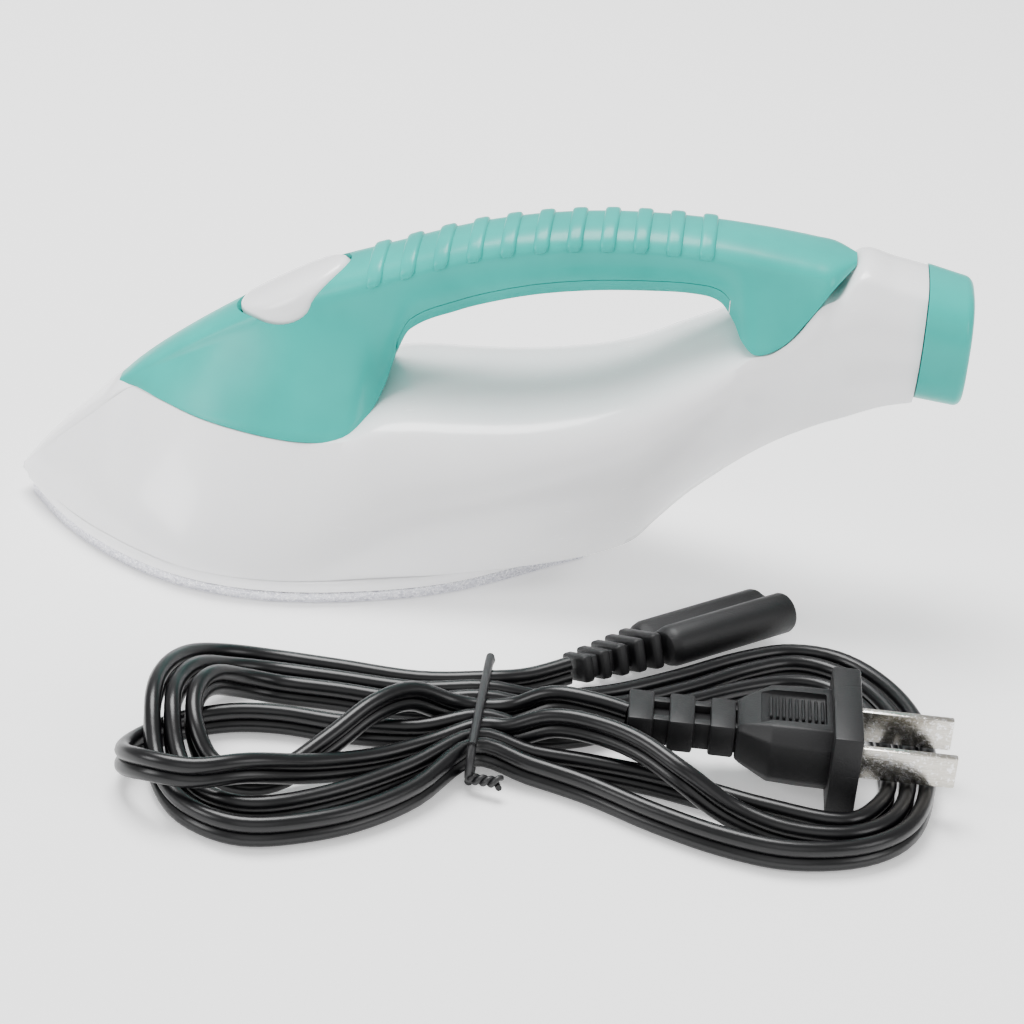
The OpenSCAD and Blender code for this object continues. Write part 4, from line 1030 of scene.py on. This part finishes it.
    @staticmethod
    def at(tail: Point, turn: float, roll: float = 0.0) -> Matrix:
        """Row frame from a plug's own frame, in metres."""
        turned = Matrix.Rotation(math.radians(turn), 4, "Z") @ Matrix.Rotation(math.radians(roll), 4, "X")
        return Matrix.Translation(Vector(tail) * MM) @ turned

    def plug(self) -> None:
        """The two-blade plug: segmented relief, faceted grip with ribbed panels, and its flange."""
        bm = bmesh.new()
        end = self.flange_x
        for i in range(3):
            box_into(bm, (i * 7.4, -5, -3.2), (i * 7.4 + 4.6, 5, 3.2), 0.5)
            self.frame_into(bm, i * 7.4)
        box_into(bm, (1, -2.9, -2.2), (21, 2.9, 1.2), 0.2)
        self.grip_into(bm)
        box_into(bm, (end - 0.2, -12.6, -8), (end + 5, 12.6, 8), 0.5, 2)
        for side in (-1, 1):
            for i in range(9):
                x = end - 11.4 + i * 1.15
                at = side * 5.15
                box_into(bm, (x, -3.4, at - 0.9), (x + 0.55, 3.4, at + 0.55), 0.18, 1)
        bmesh.ops.transform(bm, matrix=self.at(self.plug_tail, self.plug_turn), verts=bm.verts)
        add(finished(bm, "plug_body_moulded", GRIP_SHARP_DEG), "power_lead", "lead_rubber",
            Finish.SOFT_BLACK, "plug_body")

    @staticmethod
    def frame_into(bm: bmesh.types.BMesh, x: float) -> None:
        """Adds the two short side rails that tie one relief segment to the next."""
        for s in (-1, 1):
            box_into(bm, (x + 4, s * 3.1 - 0.9, -2.7), (x + 8, s * 3.1 + 0.9, 2.7), 0.3)

    def grip_into(self, bm: bmesh.types.BMesh) -> None:
        """Adds the plug's grip: facets that widen towards the flange, with a recess on each broad face."""
        end = self.flange_x
        rows = [(19.6, 5.2, 3.4, 0.6), (20.6, 5.9, 4.2, 1.2), (25.6, 9.4, 5.9, 2.4), (31, 9.8, 6.1, 2.6),
                (end + 0.3, 9.9, 6.1, 2.6)]

        def place(k: float, q: float) -> Point:
            x, w, h, c = rows[int(k)]
            corners = ((w, -h + c), (w, h - c), (w - c, h), (-w + c, h), (-w, h - c), (-w, -h + c),
                       (-w + c, -h), (w - c, -h), (w, -h + c))
            y, z = corners[int(q)]
            return (x, y, z)

        grip = warped_grid([0, 1, 2, 3, 4], list(range(9)), place)
        close_ends(grip)
        bmesh.ops.bevel(grip, geom=[e for e in grip.edges if e.calc_face_angle(0.0) > 0.3], offset=0.35 * MM,
                        segments=2, profile=0.5, affect="EDGES", material=-1)
        piece = tool(grip)
        for side in (-1, 1):
            low, high = sorted((side * 4.4, side * 9))
            combine(piece, box_tool((end - 13, -5.2, low + (0.6 if side > 0 else 0)),
                                    (end - 1.2, 5.2, high - (0.6 if side < 0 else 0)), 0.4), "DIFFERENCE")
        bm.from_mesh(piece.data)
        bpy.data.objects.remove(piece)

    def connector(self) -> None:
        """The figure-8 connector with its ribbed relief and two socket bores."""
        start, end, r = 18.0, 48.0, 4.0
        xs = [start, start + 0.25, start + 1.0, start + 2.2, 30, 40, end - 0.9, end - 0.3, end]
        inset = [1.6, 0.9, 0.3, 0, 0, 0, 0, 0.25, 0.8]
        half = self.pitch / 2
        outline = [(0.0, -2.5)] + [(half + r * math.cos(math.radians(a)), r * math.sin(math.radians(a)))
                                    for a in range(-126, 127, 14)] + [(0.0, 2.5)]
        mirrored = [(-y, z) for y, z in outline[1:-1][::-1]]
        loop = outline + mirrored + [outline[0]]

        def place(k: float, q: float) -> Point:
            y, z = loop[int(q)]
            d = inset[int(k)]
            return (xs[int(k)], y * (1 - d / (half + r)), z * (1 - d / r))

        bm = warped_grid(list(range(len(xs))), list(range(len(loop))), place)
        close_ends(bm)
        piece = tool(bm)
        for s in (-1, 1):
            combine(piece, rod_tool((end - 14, s * half, 0), (end + 6, s * half, 0), 1.75), "DIFFERENCE")
        bm = opened(piece)
        bpy.data.objects.remove(piece)
        for i in range(5):
            w, h = 3.6 + i * 0.5, 2.6 + i * 0.2
            box_into(bm, (i * 3.7, -w, -h), (i * 3.7 + 2.3, w, h), 0.7, 3)
        box_into(bm, (0.6, -2.8, -2.1), (19, 2.8, 2.1), 0.5)
        where = self.at(self.connector_tail, self.connector_turn, self.connector_roll)
        bmesh.ops.transform(bm, matrix=where, verts=bm.verts)
        add(finished(bm, "lead_connector_moulded", GRIP_SHARP_DEG), "power_lead", "lead_rubber",
            Finish.SOFT_BLACK, "lead_connector")

    def blades(self) -> None:
        """The plug's two flat blades, with softened edges."""
        bm = bmesh.new()
        end = self.flange_x
        for s in (-1, 1):
            y = s * self.blade_y
            low = (end + 4.6, y - self.blade_t / 2, -self.blade_w / 2)
            box_into(bm, low, (end + 22.5, y + self.blade_t / 2, self.blade_w / 2), 0.3, 2)
        bmesh.ops.transform(bm, matrix=self.at(self.plug_tail, self.plug_turn), verts=bm.verts)
        add(finished(bm, "plug_blades_plated"), "power_lead", "pin_metal", Finish.NICKEL, "plug_blades")

    def tie(self) -> None:
        """The coated wire tie: a loop round the strands, closed with a few twists."""
        y0, y1 = self.slot_0 + 1.6, self.slot_0 - 7 * self.slot_pitch - 1.6
        h, z, r = 3.85, self.slot_z, 0.8
        loop = [(self.tie_x + 0.25 * math.sin(3 * a), y0 + h * math.sin(a), z + h * math.cos(a))
                for a in spread(0, math.pi, 10)]
        loop += [(self.tie_x, y1 - h * math.sin(a), z - h * math.cos(a)) for a in spread(0, math.pi, 10)]
        bm = self.tube([Vector(p) for p in loop], r, closed=True)
        start, ahead = Vector((self.tie_x + 0.3, y1 - h, 2.6)), Vector((0.95, -0.2, 0.1)).normalized()
        side = ahead.cross(Vector((0, 0, 1))).normalized()
        up = side.cross(ahead)
        for turn in (0, math.pi):
            tail = []
            for i in range(17):
                angle = turn + i * 0.75
                reach = 0.55 if i < 14 else 0.55 + 0.15 * (i - 13)
                tail.append(start + ahead * (i * 0.35) + (side * math.cos(angle) + up * math.sin(angle)) * reach)
            merge_into(bm, self.tube(tail, 0.55, closed=False))
        add(finished(bm, "twist_tie_coated", TIE_SHARP_DEG), "power_lead", "tie_coating", Finish.TIE,
            "twist_tie")

    def tube(self, knots: Sequence[Vector], radius: float, closed: bool, per: int = 3) -> bmesh.types.BMesh:
        """A round tube through the points, in millimetres."""
        points = list(knots) + ([knots[0]] if closed else [])
        if closed:
            line = [self.through([points[-2]] + points + [points[1]], 1 + i / per)
                    for i in range((len(points) - 1) * per + 1)]
        else:
            line = [self.through(points, i / per) for i in range((len(points) - 1) * per + 1)]
        last = len(line) - 1

        def place(i: float, turn: float) -> Point:
            i = int(i)
            before = line[i - 1] if i else (line[last - 1] if closed else line[0])
            after = line[i + 1] if i < last else (line[1] if closed else line[last])
            ahead = (after - before).normalized()
            side = ahead.cross(Vector((1, 0.05, 0))).normalized() if closed else ahead.cross(
                Vector((0, 0, 1))).normalized()
            up = side.cross(ahead)
            return tuple(line[i] + (side * math.cos(turn) + up * math.sin(turn)) * radius)

        bm = warped_grid(list(range(last + 1)), spread(0, 2 * math.pi, 12), place)
        if not closed:
            close_ends(bm)
        return bm


# ---------------------------------------------------------------- pieces kept from the CAD

NODE_FINISH = {
    Finish.TUBE: ("heating_element",),
    Finish.NICKEL: ("inlet_pins",),
    Finish.BRASS: ("element_terminals", "switch_terminals", "thermostat_blades", "connector_sockets"),
    Finish.ZINC: ("heat_shield", "shield_screws", "body_screw", "handle_screws", "button_hinge_pin",
                  "button_spring", "fuse_clamp"),
    Finish.BLACK: ("switch_bracket", "switch_body", "inlet_socket"),
    Finish.RED: ("switch_plunger",),
    Finish.CERAMIC: ("thermostat_base", "thermal_fuse"),
    Finish.BROWN_WIRE: ("wire_live",),
    Finish.BLACK_WIRE: ("wire_switched",),
    Finish.BLUE_WIRE: ("wire_neutral",),
    Finish.SLEEVE: ("wire_fused", "wire_heater"),
}


def dress_kept_nodes() -> None:
    """Gives the CAD pieces that stay their finishes."""
    for finish, names in NODE_FINISH.items():
        for name in names:
            dress(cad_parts[name], finish)


def main() -> None:
    """Builds the looks."""
    logging.basicConfig(level=logging.INFO, format="%(name)s: %(message)s")
    Studio().build()
    dress_kept_nodes()
    shells = Shells()
    shells.sole()
    shells.skirt()
    shells.body()
    shells.handle()
    Button().build()
    Cap().build()
    lead = Lead()
    lead.plug()
    lead.blades()
    lead.connector()
    lead.tie()
    lead.cord()


if __name__ == "__main__":
    main()
